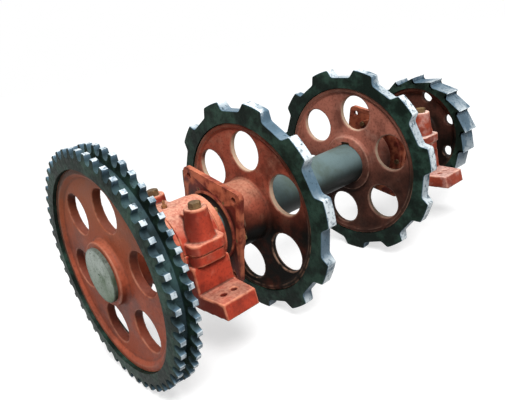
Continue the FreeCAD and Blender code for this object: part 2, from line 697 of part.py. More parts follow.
def make_shaft():
    """The stepped shaft, with a key seat under each of the four hubs."""
    end_radius = end_dia / 2
    cover_radius = cover_dia / 2
    seat_radius = bearing_bore / 2
    journal_radius = journal_dia / 2
    body_radius = body_dia / 2
    thread_end = nut_end + thread_over
    steps = [
        (end_radius, drive_face + end_draw, drive_shoulder),
        (cover_radius, drive_shoulder, -thread_end),
        (seat_radius, -thread_end, half_bearing),
        (journal_radius, half_bearing, near_hub_end - shoulder_over),
        (body_radius, near_hub_end - shoulder_over, far_hub_end + shoulder_over),
        (journal_radius, far_hub_end + shoulder_over, block_span - half_bearing),
        (seat_radius, block_span - half_bearing, block_span + thread_end),
        (cover_radius, block_span + thread_end, ratchet_shoulder),
        (end_radius, ratchet_shoulder, ratchet_face - end_draw),
    ]
    profile = [(0, steps[0][1])]
    for radius, start, stop in steps:
        profile.append((radius, start))
        profile.append((radius, stop))
    profile.append((0, steps[-1][2]))
    bar = turned_body("shaft_bar", profile, 0)
    seats = [
        key_seat(end_key, drive_key_mid),
        key_seat(wheel_key, near_key_mid),
        key_seat(wheel_key, far_key_mid),
        key_seat(end_key, ratchet_key_mid),
    ]
    tap = end_screw_dia / 2 + slip_gap
    depth = end_screw_length
    taps = [
        cylinder(tap, depth, (0, drive_face, shaft_height), ALONG_Y),
        cylinder(tap, depth, (0, ratchet_face - depth, shaft_height), ALONG_Y),
    ]
    keep(cut(bar, seats + taps), "shaft")


drive_key_mid = drive_mid + (drive_hub_back - drive_hub_front) / 2
near_key_mid = near_wheel_mid - (wheel_hub_outer - wheel_hub_inner) / 2
far_key_mid = far_wheel_mid + (wheel_hub_outer - wheel_hub_inner) / 2
ratchet_key_mid = ratchet_mid + (ratchet_hub_outer - ratchet_hub_inner) / 2


wheel_key = (body_dia / 2 - wheel_key_sunk, wheel_key_width, wheel_key_height, wheel_key_length)
end_key = (end_dia / 2 - end_key_sunk, end_key_width, end_key_height, end_key_length)


def key_seat(key, y_mid):
    """The space of a key, with some play at its sides and ends."""
    floor, width, height, length = key
    play = 2 * slip_gap
    bottom = shaft_height + floor
    return middle_box(width + play, length + play, bottom, bottom + height, y_mid)


def make_key(label, key, y_mid):
    """A key on the +Z side of the shaft."""
    floor, width, height, length = key
    bottom = shaft_height + floor
    keep(middle_box(width, length, bottom, bottom + height, y_mid), label)


def wheel_centre(label, bore, rim_bore, band, band_width, web, hub, hub_root, reach, y_mid, key):
    """A cast wheel centre: hub, dished web and the band that carries the toothed ring."""
    before, after = reach
    inside = bore / 2 + seat_gap
    outside = rim_bore / 2 - seat_gap
    band_inside = outside - band
    half_band = band_width / 2
    half_web = web / 2
    ramp = band_inside - (half_band - half_web)
    root = hub_root / 2
    neck = (hub_root - hub) / 2
    profile = [
        (inside, -before),
        (hub / 2, -before),
        (hub / 2, -half_web - neck),
        (root, -half_web),
        (ramp, -half_web),
        (band_inside, -half_band),
        (outside, -half_band),
        (outside, half_band),
        (band_inside, half_band),
        (ramp, half_web),
        (root, half_web),
        (hub / 2, half_web + neck),
        (hub / 2, after),
        (inside, after),
    ]
    body = turned_body(label, profile, y_mid)
    keyway(body, key)
    return keep(body, label)


def bevelled_row(y_mid, width, root, tip, bevel):
    """Half the outline of one row of teeth: points from one side to the other, narrowing to the tip."""
    half = width / 2
    return [
        (root, y_mid - half),
        (tip, y_mid - half + bevel),
        (tip, y_mid + half - bevel),
        (root, y_mid + half),
    ]


def make_drive_sprocket():
    """Toothed ring with two rows in step, its cast centre, key and end plate."""
    bevel_root = drive_root_radius - drive_bevel_depth
    groove = drive_root_radius - row_groove_depth
    inner = drive_rim_bore / 2
    half_row = row_pitch / 2
    side = half_row + drive_tooth_width / 2
    inside = half_row - drive_tooth_width / 2
    row = (drive_tooth_width, bevel_root, drive_tip_radius, drive_tooth_bevel)
    profile = [(inner, -side)] + bevelled_row(-half_row, *row)
    profile += [(groove, -inside), (groove, inside)]
    profile += bevelled_row(half_row, *row) + [(inner, side)]
    rim = turned_body("drive_sprocket_rim", profile, drive_mid)
    seat = drive_roller / 2 + slip_gap
    lean = drive_flank_angle
    middle = drive_root_radius + seat
    touch_x = seat * cosine(lean)
    touch_z = middle - seat * sine(lean)
    clear = drive_tip_radius + drive_tooth_top
    mouth = touch_x + (clear - touch_z) * tangent(lean)
    gap = [(-touch_x, touch_z, seat), (0, drive_root_radius, seat), (touch_x, touch_z),
           (mouth, clear), (-mouth, clear)]
    teeth(rim, gap, drive_teeth, drive_phase)
    place_turned(rim, drive_mid)
    keep(rim, "drive_sprocket_rim")
    centre = wheel_centre(
        "drive_sprocket_centre", end_dia, drive_rim_bore, drive_band, drive_band_width, drive_web,
        drive_hub_dia, drive_hub_root, (drive_hub_front, drive_hub_back), drive_mid, end_key)
    round_holes(centre, drive_hole_dia, drive_hole_pcd, drive_hole_count, drive_hole_phase)
    make_key("drive_key", end_key, drive_key_mid)
    make_end_plate("drive", drive_plate_dia, drive_face, -1)


def place_turned(body, y_mid):
    """Puts a turned body on the shaft axis and keeps its turn."""
    body.setExpression("Placement.Base.x", "0")
    bind(body, "Placement.Base.y", y_mid)
    bind(body, "Placement.Base.z", shaft_height)


def make_end_plate(end, dia, face, side):
    """The disc that draws a hub up on its seat, and its countersunk screw."""
    outer = dia / 2
    near = face + side * face_gap
    far = near + side * end_plate_thick
    head = end_screw_head / 2
    shank = end_screw_dia / 2
    sink = head - shank
    profile = [
        (shank + slip_gap, near),
        (outer, near),
        (outer, far - side * end_plate_chamfer),
        (outer - end_plate_chamfer, far),
        (head + slip_gap, far),
        (shank + slip_gap, far - side * sink),
    ]
    keep(turned_body(end + "_end_plate", profile, 0), end + "_end_plate")
    tip = far - side * end_screw_length
    screw_profile = [(0, far), (head, far), (shank, far - side * sink), (shank, tip), (0, tip)]
    screw = turned_body(end + "_screw_blank", screw_profile, 0)
    turn = ALONG_Y if side < 0 else AGAINST_Y
    socket = hexagon(end_screw_socket, end_screw_socket_depth, (0, far, shaft_height), turn)
    keep(cut(screw, [socket]), end + "_end_screw")


def make_chain_wheel(side, y_mid, outward, hole_phase, key_mid):
    """One elevator chain wheel: toothed ring, cast centre with the long hub end outward, and key."""
    root = wheel_root_dia / 2
    tip = wheel_tip_dia / 2
    inner = wheel_rim_bore / 2
    half = wheel_width / 2
    profile = [(inner, -half)]
    profile += bevelled_row(0, wheel_width, root + wheel_bevel_depth, tip, wheel_tooth_bevel)
    profile += [(inner, half)]
    rim = turned_body(side + "_chain_rim", profile, y_mid)
    lean = wheel_flank_angle
    floor = wheel_gap_floor / 2
    run = wheel_root_round * tangent((90 - lean) / 2)
    clear = tip + wheel_root_round
    flat_end = floor - run
    flank_x = floor + run * sine(lean)
    flank_z = root + run * cosine(lean)
    mouth = floor + (clear - root) * tangent(lean)
    gap = [(-flank_x, flank_z, wheel_root_round), (-flat_end, root), (flat_end, root, wheel_root_round),
           (flank_x, flank_z), (mouth, clear), (-mouth, clear)]
    teeth(rim, gap, wheel_teeth, wheel_phase)
    place_turned(rim, y_mid)
    keep(rim, side + "_chain_rim")
    long_end = half + wheel_hub_outer
    short_end = half + wheel_hub_inner
    reach = (long_end, short_end) if outward < 0 else (short_end, long_end)
    label = side + "_wheel_centre"
    centre = wheel_centre(
        label, body_dia, wheel_rim_bore, wheel_band, wheel_band_width, wheel_web,
        wheel_hub_dia, wheel_hub_root, reach, y_mid, wheel_key)
    round_holes(centre, wheel_hole_dia, wheel_hole_pcd, wheel_hole_count, hole_phase)
    tap_y = y_mid + outward * (long_end - set_screw_inset)
    tap = cylinder(set_screw_dia / 2 + slip_gap, wheel_hub_dia / 2, (0, tap_y, shaft_height))
    parts.remove(centre)
    centre.Label = side + "_wheel_casting"
    keep(cut(centre, [tap]), label)
    make_key(side + "_wheel_key", wheel_key, key_mid)
    return tap_y


def make_set_screws(places):
    """Socket set screws that press on the chain wheel keys."""
    key_top = body_dia / 2 - wheel_key_sunk + wheel_key_height + face_gap
    length = wheel_hub_dia / 2 - set_screw_sunk - key_top
    screw = cylinder(set_screw_dia / 2, length, (0, 0, 0))
    socket = hexagon(set_screw_socket, set_screw_socket_depth, (0, 0, length - set_screw_socket_depth))
    master = cut(screw, [socket])
    spots = [spot(0, y, shaft_height + key_top) for y in places]
    group("wheel_set_screws", master, spots)


def make_ratchet():
    """The ratchet wheel: saw-toothed ring, cast centre, key and end plate."""
    tip = ratchet_tip_dia / 2
    half = ratchet_width / 2
    inner = ratchet_rim_bore / 2
    rim = turned_body("ratchet_rim", ring_profile(inner, tip, -half, half), ratchet_mid)
    root = tip - ratchet_depth
    pitch = 360 / ratchet_teeth
    lean = ratchet_depth * tangent(ratchet_undercut)
    run_x = tip * sine(pitch)
    run_z = tip * cosine(pitch)
    clear = tip + ratchet_depth
    gap = [(lean * -1, root), (run_x, run_z), (run_x, clear), (0, clear), (0, tip)]
    teeth(rim, gap, ratchet_teeth, ratchet_phase)
    place_turned(rim, ratchet_mid)
    keep(rim, "ratchet_rim")
    reach = (ratchet_hub_inner, ratchet_hub_outer)
    centre = wheel_centre(
        "ratchet_centre", end_dia, ratchet_rim_bore, ratchet_band, ratchet_band_width, ratchet_web,
        ratchet_hub_dia, ratchet_hub_root, reach, ratchet_mid, end_key)
    round_holes(centre, ratchet_hole_dia, ratchet_hole_pcd, ratchet_hole_count, ratchet_hole_phase)
    make_key("ratchet_key", end_key, ratchet_key_mid)
    make_end_plate("ratchet", ratchet_plate_dia, ratchet_face, 1)


def make_bearing(side, y_mid, outward):
    """A spherical roller bearing on its seat, with the lock nut and tab washer outside it."""
    contact = arc_tangent(roller_spread / (roller_pitch_dia / 2))
    reach = roller_pitch_dia / 2 / cosine(contact)
    sphere_radius = reach + roller_dia / 2 + roll_gap
    start = (0, y_mid - half_bearing, shaft_height)
    outer = cylinder(bearing_od / 2 - seat_gap, bearing_width, start, ALONG_Y)
    hollow = doc.addObject("Part::Sphere", "Raceway")
    bind(hollow, "Radius", sphere_radius)
    place(hollow, (0, y_mid, shaft_height))
    keep(cut(outer, [hollow]), side + "_outer_ring")
    groove_reach = reach - roller_dia / 2 - roll_gap + race_curve
    inner = cylinder(inner_ring_lip / 2, bearing_width, start, ALONG_Y)
    bore = cylinder(bearing_bore / 2 + seat_gap, bearing_width, start, ALONG_Y)
    grooves = [bore]
    for row in (-1, 1):
        groove = doc.addObject("Part::Torus", "Groove")
        bind(groove, "Radius1", groove_reach * cosine(contact))
        bind(groove, "Radius2", race_curve)
        grooves.append(place(groove, (0, y_mid + row * groove_reach * sine(contact), shaft_height), ALONG_Y))
    keep(cut(inner, grooves), side + "_inner_ring")
    make_rollers(side, y_mid, contact)
    washer_from = y_mid + outward * half_bearing
    nut_from = y_mid + outward * nut_start
    nut_to = y_mid + outward * nut_end
    bore_radius = bearing_bore / 2 + slip_gap
    ring_body(side + "_lock_washer", bore_radius, tab_washer_dia / 2, washer_from, nut_from)
    nut_radius = nut_dia / 2
    nut = turned_body(side + "_lock_nut", ring_profile(bore_radius, nut_radius, nut_from, nut_to), 0)
    half_slot = nut_slot_width / 2
    slot_floor = nut_radius - nut_slot_depth
    slot_top = nut_radius + nut_slot_depth
    slot = cut_through(nut, [(-half_slot, slot_floor), (half_slot, slot_floor),
                             (half_slot, slot_top), (-half_slot, slot_top)])
    ring_of(nut, slot, slot.Profile[0], nut_slots)
    keep(nut, side + "_lock_nut")


def barrel_roller(play):
    """A barrel-shaped roller about its own Z axis, with some play all round."""
    body = new_body("roller")
    sketch = new_sketch(body, "XZ_Plane")
    half = roller_length / 2 + play
    middle = roller_dia / 2 + play
    drop = race_curve - square_root(race_curve * race_curve - half * half)
    end = middle - drop
    outline(sketch, [(0, -half), (end, -half, race_curve), (end, half), (0, half)])
    turn = body.newObject("PartDesign::Revolution", "Turn")
    turn.Profile = sketch
    turn.ReferenceAxis = (sketch, ["V_Axis"])
    turn.Angle = 360
    body.Tip = turn
    return body


def roller_spots(y_mid, contact):
    """Places of both rows of rollers, each row leaning towards the middle of the bearing."""
    spots = []
    for row in (-1, 1):
        for index in range(roller_count):
            angle = (index + (row + 1) / 4) * 360 / roller_count
            lean = FreeCAD.Rotation(FreeCAD.Vector(1, 0, 0), -90 - row * number(contact))
            offset = FreeCAD.Vector(0, row * number(roller_spread), number(roller_pitch_dia) / 2)
            local = FreeCAD.Placement(offset, lean)
            turn = FreeCAD.Placement(FreeCAD.Vector(0, 0, 0), FreeCAD.Rotation(Y_AXIS, angle))
            spots.append(spot(0, y_mid, shaft_height).multiply(turn).multiply(local))
    return spots


def make_rollers(side, y_mid, contact):
    """Two rows of rollers and the cage that spaces them."""
    spots = roller_spots(y_mid, contact)
    group(side + "_rollers", barrel_roller(0), spots)
    pockets = group(side + "_pockets", barrel_roller(pocket_gap), spots)
    parts.remove(pockets)
    inside = roller_pitch_dia / 2 - cage_wall / 2
    outside = roller_pitch_dia / 2 + cage_wall / 2
    half = cage_width / 2
    blank = turned_body(side + "_cage_blank", ring_profile(inside, outside, -half, half), y_mid)
    keep(cut(blank, [pockets]), side + "_cage")


def bolt_head(dia, flats, head, length):
    """A hexagon bolt about its own Z axis: head above z = 0, shank below."""
    shank = cylinder(dia / 2, length, (0, 0, -length))
    return fuse([hexagon(flats, head, (0, 0, 0)), shank])


def make_block(side, y_mid, outward):
    """A split bearing block: base with two feet, and a cap held by two bolts."""
    axis = shaft_height
    barrel_start = y_mid - barrel_length / 2
    barrel = barrel_dia / 2
    bore_radius = bearing_od / 2
    bore = cylinder(bore_radius, barrel_length, (0, barrel_start, axis), ALONG_Y)
    boss_top = axis + boss_height
    seat = boss_top - spot_depth
    flange_length = 2 * boss_offset + boss_root_dia + 2 * cap_flange_over
    flange_width = pedestal_width - 2 * flange_inset
    cap_pieces = [
        cylinder(barrel, barrel_length, (0, barrel_start + barrel_length, axis), AGAINST_Y, 180),
        middle_box(2 * boss_offset, bridge_width, axis, axis + bridge_height, y_mid),
        rounded_slab(flange_length, flange_width, axis, axis + cap_flange, flange_corner, y_mid),
    ]
    cap_cuts = [bore]
    base_cuts = [cylinder(bore_radius, barrel_length, (0, barrel_start, axis), ALONG_Y)]
    for way in (-1, 1):
        x = way * boss_offset
        cap_pieces.append(cone(boss_root_dia / 2, boss_dia / 2, boss_height, (x, y_mid, axis)))
        cap_cuts.append(cylinder(cap_bolt_dia / 2 + cap_bolt_play, boss_height, (x, y_mid, axis)))
        cap_cuts.append(cylinder(spot_dia / 2, spot_depth, (x, y_mid, seat)))
        tapped = axis - cap_bolt_grip - cap_bolt_blind
        base_cuts.append(cylinder(cap_bolt_dia / 2 + slip_gap, axis - tapped, (x, y_mid, tapped)))
        pin = cylinder(dowel_dia / 2 + slip_gap, dowel_length + 2 * face_gap,
                       (x, y_mid + way * dowel_side, axis - dowel_length / 2 - face_gap))
        cap_cuts.append(pin)
        base_cuts.append(pin)
    nipple_y = y_mid + outward * nipple_shift
    cap_cuts.append(cylinder(oil_hole_dia / 2, boss_height + barrel, (0, nipple_y, axis)))
    nipple_tap = nipple_dia / 2 + slip_gap
    cap_cuts.append(cylinder(nipple_tap, boss_height, (0, nipple_y, nipple_seat - nipple_thread)))
    cap_cuts.append(cylinder(nipple_spot_dia / 2, barrel, (0, nipple_y, nipple_seat)))
    add_cover_taps(cap_cuts, y_mid)
    keep(cut(fuse(cap_pieces), cap_cuts), side + "_block_cap")

    pedestal = new_body(side + "_pedestal")
    sketch = new_sketch(pedestal, "XZ_Plane")
    shelf = axis - base_flange
    outline(sketch, [(-pedestal_foot, foot_thick), (pedestal_foot, foot_thick),
                     (pedestal_top, shelf), (-pedestal_top, shelf)])
    pad = pedestal.newObject("PartDesign::Pad", "Rise")
    pad.Profile = sketch
    pad.Midplane = True
    bind(pad, "Length", pedestal_width)
    place(pedestal, (0, y_mid, 0))
    feet = new_body(side + "_feet")
    sketch = new_sketch(feet, "XZ_Plane")
    foot_half = foot_length / 2
    outline(sketch, [(-foot_half, 0), (foot_half, 0), (foot_half - foot_slope, foot_thick),
                     (foot_slope - foot_half, foot_thick)])
    root = pedestal_width / 2 + foot_over
    end = foot_width / 2
    pad = feet.newObject("PartDesign::Pad", "Feet")
    pad.Profile = sketch
    pad.Midplane = True
    bind(pad, "Length", 2 * root)
    place(feet, (0, y_mid, 0))
    plan = new_body(side + "_foot_plan")
    sketch = new_sketch(plan, "XY_Plane")
    outline(sketch, [(-foot_half, -end), (-pedestal_foot, -root), (pedestal_foot, -root), (foot_half, -end),
                     (foot_half, end), (pedestal_foot, root), (-pedestal_foot, root), (-foot_half, end)])
    pad = plan.newObject("PartDesign::Pad", "Plan")
    pad.Profile = sketch
    bind(pad, "Length", foot_thick)
    place(plan, (0, y_mid, 0))
    feet = common(feet, plan)
    lower_barrel = cylinder(barrel, barrel_length, (0, barrel_start, axis), ALONG_Y, 180)
    under = 2 * base_flange_under
    flange = rounded_slab(flange_length - under, flange_width - under, shelf, axis, flange_corner, y_mid)
    base_cuts.append(middle_box(core_length, core_width, 0, core_height, y_mid))
    for x in (-foot_hole_span / 2, foot_hole_span / 2):
        for y in (y_mid - foot_hole_pair / 2, y_mid + foot_hole_pair / 2):
            base_cuts.append(cylinder(foot_hole_dia / 2, foot_thick, (x, y, 0)))
    add_cover_taps(base_cuts, y_mid)
    keep(cut(fuse([pedestal, feet, lower_barrel, flange]), base_cuts), side + "_block_base")
    make_nipple(side, nipple_y)


nipple_seat = shaft_height + barrel_dia / 2 - nipple_spot_depth


def make_nipple(side, y):
    """A grease nipple standing on the crown of the cap."""
    top = nipple_seat + nipple_hex
    neck = nipple_height - nipple_head
    pieces = [
        hexagon(nipple_flats, nipple_hex, (0, y, nipple_seat)),
        cylinder(nipple_dia / 2, nipple_thread, (0, y, nipple_seat - nipple_thread)),
        cone(nipple_head / 2, nipple_neck / 2, neck, (0, y, top)),
        cylinder(nipple_head / 2, nipple_head / 2, (0, y, top + neck)),
        cone(nipple_head / 2, nipple_neck / 4, nipple_head / 2, (0, y, top + neck + nipple_head / 2)),
    ]
    keep(fuse(pieces), side + "_grease_nipple")


def add_cover_taps(tools, y_mid):
    """Tapped holes for the cover screws in both ends of a barrel."""
    radius = cover_screw_dia / 2 + slip_gap
    depth = cover_screw_grip + cover_screw_dia / 2
    start = 180 / number(cover_screw_count)
    for index in range(int(number(cover_screw_count))):
        angle = start + index * 360 / cover_screw_count
        x = cover_screw_pcd / 2 * cosine(angle)
        z = shaft_height + cover_screw_pcd / 2 * sine(angle)
        tools.append(cylinder(radius, depth, (x, y_mid - barrel_length / 2, z), ALONG_Y))
        tools.append(cylinder(radius, depth, (x, y_mid + barrel_length / 2 - depth, z), ALONG_Y))


def make_cover(label, felt_label, y_mid, way, journal):
    """An end cover: flange, spigot that holds the outer ring, and a felt ring round the shaft."""
    face = barrel_length / 2
    flange_end = face + cover_flange_thick
    neck_end = flange_end + cover_neck
    stop = half_bearing + face_gap
    spigot = bearing_od / 2 - slip_gap
    bore = journal / 2 + pass_gap
    felt_out = journal / 2 + felt_gap + felt_depth
    felt_from = neck_end - (cover_neck + cover_floor + felt_width) / 2
    felt_to = felt_from + felt_width
    wall = spigot - spigot_wall
    floor = flange_end - cover_floor
    profile = [
        (bore, neck_end), (cover_neck_dia / 2, neck_end), (cover_neck_dia / 2, flange_end),
        (cover_flange_dia / 2, flange_end), (cover_flange_dia / 2, face + face_gap),
        (spigot, face + face_gap), (spigot, stop), (wall, stop), (wall, floor), (bore, floor),
        (bore, felt_from), (felt_out, felt_from), (felt_out, felt_to), (bore, felt_to),
    ]
    signed = [(radius, way * y) for radius, y in profile]
    body = turned_body(label, signed, y_mid)
    start = 180 / number(cover_screw_count)
    round_holes(body, cover_screw_dia + 2 * pass_gap, cover_screw_pcd, cover_screw_count, start)
    keep(body, label)
    inside = journal / 2 + felt_gap
    ends = [y_mid + way * (felt_from + face_gap), y_mid + way * (felt_to - face_gap)]
    ring_body(felt_label, inside, felt_out - slip_gap, *ends)


def make_block_fasteners():
    """Cap bolts with spring washers, dowels, and the screws of all four covers."""
    seat = shaft_height + boss_height - spot_depth
    length = boss_height - spot_depth + washer_thick + cap_bolt_grip
    bolt = bolt_head(cap_bolt_dia, cap_bolt_flats, cap_bolt_head, length)
    washer_ring = cylinder(washer_dia / 2, washer_thick, (0, 0, 0))
    washer_bore = cylinder(cap_bolt_dia / 2 + cap_bolt_play, washer_thick, (0, 0, 0))
    washer = cut(washer_ring, [washer_bore])
    dowel = cylinder(dowel_dia / 2, dowel_length, (0, 0, -dowel_length / 2))
    bolts, washers, dowels, screws = [], [], [], []
    turn = FreeCAD.Rotation(FreeCAD.Vector(0, 0, 1), number(cap_bolt_turn))
    under_head = barrel_length / 2 + cover_flange_thick + face_gap
    start = 180 / number(cover_screw_count)
    for y_mid in (drive_block_mid, ratchet_block_mid):
        for way in (-1, 1):
            x = way * boss_offset
            washers.append(spot(x, y_mid, seat))
            bolts.append(spot(x, y_mid, seat + washer_thick, turn))
            dowels.append(spot(x, y_mid + way * dowel_side, shaft_height))
            rotation = AGAINST_Y if way < 0 else ALONG_Y
            y = y_mid + way * under_head
            screws += circle_spots(cover_screw_pcd, cover_screw_count, start, y, rotation)
    group("block_cap_bolts", bolt, bolts)
    group("block_cap_washers", washer, washers)
    group("block_dowels", dowel, dowels)
    screw_length = cover_flange_thick + cover_screw_grip
    screw = bolt_head(cover_screw_dia, cover_screw_flats, cover_screw_head, screw_length)
    group("cover_screws", screw, screws)


def plate_blank(side, y_mid):
    """The flat plate with its corner holes, turned on the shaft."""
    body = new_body(side + "_plate_blank")
    sketch = new_sketch(body, "XZ_Plane")
    half_x = plate_width / 2
    half_z = plate_height / 2
    flat_x = half_x - plate_corner
    flat_z = half_z - plate_corner
    outline(sketch, [
        (-flat_x, -half_z),
        (flat_x, -half_z, plate_corner),
        (half_x, -flat_z),
        (half_x, flat_z, plate_corner),
        (flat_x, half_z),
        (-flat_x, half_z, plate_corner),
        (-half_x, flat_z),
        (-half_x, -flat_z, plate_corner),
    ])
    pad = body.newObject("PartDesign::Pad", "Sheet")
    pad.Profile = sketch
    pad.Midplane = True
    bind(pad, "Length", plate_thick)
    body.Tip = pad
    holes = new_sketch(body, "XZ_Plane")
    spots = [(x * plate_hole_x / 2, z * plate_hole_z / 2) for x in (-1, 1) for z in (-1, 1)]
    for index, (x, z) in enumerate(spots):
        draw_circle(holes, index, x, z, plate_hole_dia)
    pocket(body, holes)
    turn_body(body, plate_turn)
    place_turned(body, y_mid)
    return body


def make_seal_plate(side, y_mid, outward):
    """A seal plate with a raised lip, a felt ring in its opening and a gland ring behind it."""
    axis = shaft_height
    lip_length = plate_thick / 2 + lip_height
    lip_start = y_mid - lip_length if outward < 0 else y_mid
    lip = cylinder(plate_bore / 2 + lip_wall, lip_length, (0, lip_start, axis), ALONG_Y)
    reach = 2 * lip_length
    tools = [cylinder(plate_bore / 2, reach, (0, y_mid - lip_length, axis), ALONG_Y)]
    for index in range(int(number(gland_screw_count))):
        angle = index * 360 / gland_screw_count - plate_turn
        x = gland_screw_pcd / 2 * cosine(angle)
        z = axis + gland_screw_pcd / 2 * sine(angle)
        tools.append(cylinder(gland_screw_dia / 2 + slip_gap, reach, (x, y_mid - lip_length, z), ALONG_Y))
    keep(cut(fuse([plate_blank(side, y_mid), lip]), tools), side + "_seal_plate")
    inward = -outward
    back = y_mid + inward * plate_thick / 2
    felt_from = back - inward * seal_felt_width
    ring_body(side + "_seal_felt", journal_dia / 2 + felt_gap, plate_bore / 2 - slip_gap, felt_from, back)
    gland_from = back + inward * face_gap
    gland_to = gland_from + inward * gland_thick
    bore = journal_dia / 2 + pass_gap
    gland = turned_body(side + "_seal_gland", ring_profile(bore, gland_dia / 2, gland_from, gland_to), 0)
    round_holes(gland, gland_screw_dia + pass_gap, gland_screw_pcd, gland_screw_count, -plate_turn)
    keep(gland, side + "_seal_gland")
    make_gland_screws(side, gland_to + inward * face_gap, ALONG_Y if inward > 0 else AGAINST_Y)


def make_gland_screws(side, y, rotation):
    """The screws of a gland ring, with their heads on the wheel side."""
    length = gland_thick + plate_thick - face_gap
    screw = bolt_head(gland_screw_dia, gland_screw_flats, gland_screw_head, length)
    spots = circle_spots(gland_screw_pcd, gland_screw_count, -number(plate_turn), y, rotation)
    group(side + "_gland_screws", screw, spots)


make_shaft()
make_drive_sprocket()
near_tap = make_chain_wheel(DRIVE, near_wheel_mid, -1, near_hole_phase, near_key_mid)
far_tap = make_chain_wheel(RATCHET, far_wheel_mid, 1, far_hole_phase, far_key_mid)
make_set_screws([near_tap, far_tap])
make_ratchet()
for side, y_mid, outward in ((DRIVE, drive_block_mid, -1), (RATCHET, ratchet_block_mid, 1)):
    make_bearing(side, y_mid, outward)
    make_block(side, y_mid, outward)
    make_cover(side + "_outer_cover", side + "_outer_felt", y_mid, outward, cover_dia)
    make_cover(side + "_inner_cover", side + "_inner_felt", y_mid, -outward, journal_dia)
make_block_fasteners()
make_seal_plate(DRIVE, near_plate_mid, -1)
make_seal_plate(RATCHET, far_plate_mid, 1)
doc.recompute()

for item in doc.Objects:
    if "Invalid" in item.State or "Error" in item.State:
        raise RuntimeError("%s (%s) failed to build" % (item.Label, item.Name))
for part in parts:
    if part.Shape.isNull() or not part.Shape.isValid() or not part.Shape.Solids:
        raise RuntimeError("%s has no valid solid" % part.Label)

os.makedirs("parts", exist_ok=True)
for part in parts:
    part.Shape.exportStep(os.path.join("parts", part.Label + ".step"))
    print("%-32s solids %3d" % (part.Label, len(part.Shape.Solids)))
print(len(parts), "sub-parts")
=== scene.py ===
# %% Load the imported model
import json
import math

import bmesh
import bpy
from mathutils import Euler, Matrix, Vector


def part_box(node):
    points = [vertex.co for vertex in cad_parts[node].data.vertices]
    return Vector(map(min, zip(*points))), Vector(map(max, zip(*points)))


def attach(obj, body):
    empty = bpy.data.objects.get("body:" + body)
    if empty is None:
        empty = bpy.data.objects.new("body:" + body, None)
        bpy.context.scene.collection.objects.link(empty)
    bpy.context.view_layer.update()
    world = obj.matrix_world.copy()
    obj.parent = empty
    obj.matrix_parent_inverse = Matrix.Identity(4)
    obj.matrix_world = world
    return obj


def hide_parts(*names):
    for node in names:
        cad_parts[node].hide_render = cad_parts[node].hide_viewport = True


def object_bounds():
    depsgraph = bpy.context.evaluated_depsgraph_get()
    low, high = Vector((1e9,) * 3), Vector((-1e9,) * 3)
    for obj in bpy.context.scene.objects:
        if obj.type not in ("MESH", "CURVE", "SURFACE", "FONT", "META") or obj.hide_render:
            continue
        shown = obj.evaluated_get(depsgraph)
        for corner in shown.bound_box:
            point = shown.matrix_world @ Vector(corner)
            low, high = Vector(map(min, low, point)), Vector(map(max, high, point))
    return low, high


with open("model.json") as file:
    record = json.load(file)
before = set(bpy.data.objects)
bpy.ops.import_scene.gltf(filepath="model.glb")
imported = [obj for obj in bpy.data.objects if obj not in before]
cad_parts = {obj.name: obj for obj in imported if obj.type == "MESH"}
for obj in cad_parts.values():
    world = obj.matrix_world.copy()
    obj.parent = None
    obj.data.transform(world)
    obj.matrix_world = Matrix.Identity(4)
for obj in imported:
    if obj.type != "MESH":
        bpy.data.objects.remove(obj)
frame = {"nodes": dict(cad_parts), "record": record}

cad_low, cad_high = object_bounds()
print("CAD box", [round(v, 3) for v in cad_high - cad_low], "metres, nodes", len(frame["nodes"]))

# %% [markdown]
# The object is the head shaft of a bucket elevator, seen before it is fitted: a drive sprocket, two
# bearing blocks, two seal plates, two chain wheels and a ratchet wheel on one shaft. Everything that turns
# has the line of the shaft as its axis, so that line is found first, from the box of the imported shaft.

# %% Where the shaft runs
scene = bpy.context.scene
shaft_low, shaft_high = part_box("shaft")
axis_height = (shaft_low.z + shaft_high.z) / 2

# %% [markdown]
# The camera comes first, because every later choice is judged through it. Its place was worked out from
# the circles of the wheels, which show as ellipses. The bearing block by the sprocket leans in the
# picture, and the model stands level on that block's feet, so it is the camera that leans here, about the
# shaft's line.

# %% Camera
CAMERA_PLACE = (0.9645, -0.5442, 0.5741)
CAMERA_LOOK = (60.424, 0.0, 47.856)
CAMERA_LEAN = 13.0
CAMERA_LENS = 37.90
SENSOR_WIDTH = 36.0


def new_object(name, data):
    """An object for a mesh, camera or lamp, linked to the scene."""
    made = bpy.data.objects.new(name, data)
    scene.collection.objects.link(made)
    return made


camera_data = bpy.data.cameras.new("camera")
camera_data.lens = CAMERA_LENS
camera_data.sensor_width = SENSOR_WIDTH
camera = new_object("camera", camera_data)
look = Euler([math.radians(a) for a in CAMERA_LOOK], "XYZ").to_matrix().to_4x4()
lean = Matrix.Rotation(math.radians(CAMERA_LEAN), 4, "Y")
camera.matrix_world = Matrix.Translation(CAMERA_PLACE) @ lean @ look
scene.camera = camera
scene.view_settings.view_transform = "Standard"
print("camera", camera_data.lens, "mm lens")

# %% [markdown]
# Materials are node trees, and writing each link by hand hides the idea behind them. A few small helpers
# keep them readable. They add a node, feed its sockets by name, with a link where a value comes from
# another node, do sums, map ranges and draw noise.

# %% Helpers for node trees
def connect(tree, sockets, **values):
    """Links or sets sockets by name, with _ for a blank, or as _0, _1 for a place in the list."""
    for name, value in values.items():
        numbered = name[0] == "_" and name[1:].isdigit()
        socket = sockets[int(name[1:]) if numbered else name.replace("_", " ")]
        if isinstance(value, bpy.types.NodeSocket):
            tree.links.new(value, socket)
        else:
            socket.default_value = value


def add(tree, kind, settings=None, **values):
    """Adds a node with its settings, and feeds its sockets."""
    node = tree.nodes.new(kind)
    for name, value in (settings or {}).items():
        setattr(node, name, value)
    connect(tree, node.inputs, **values)
    return node


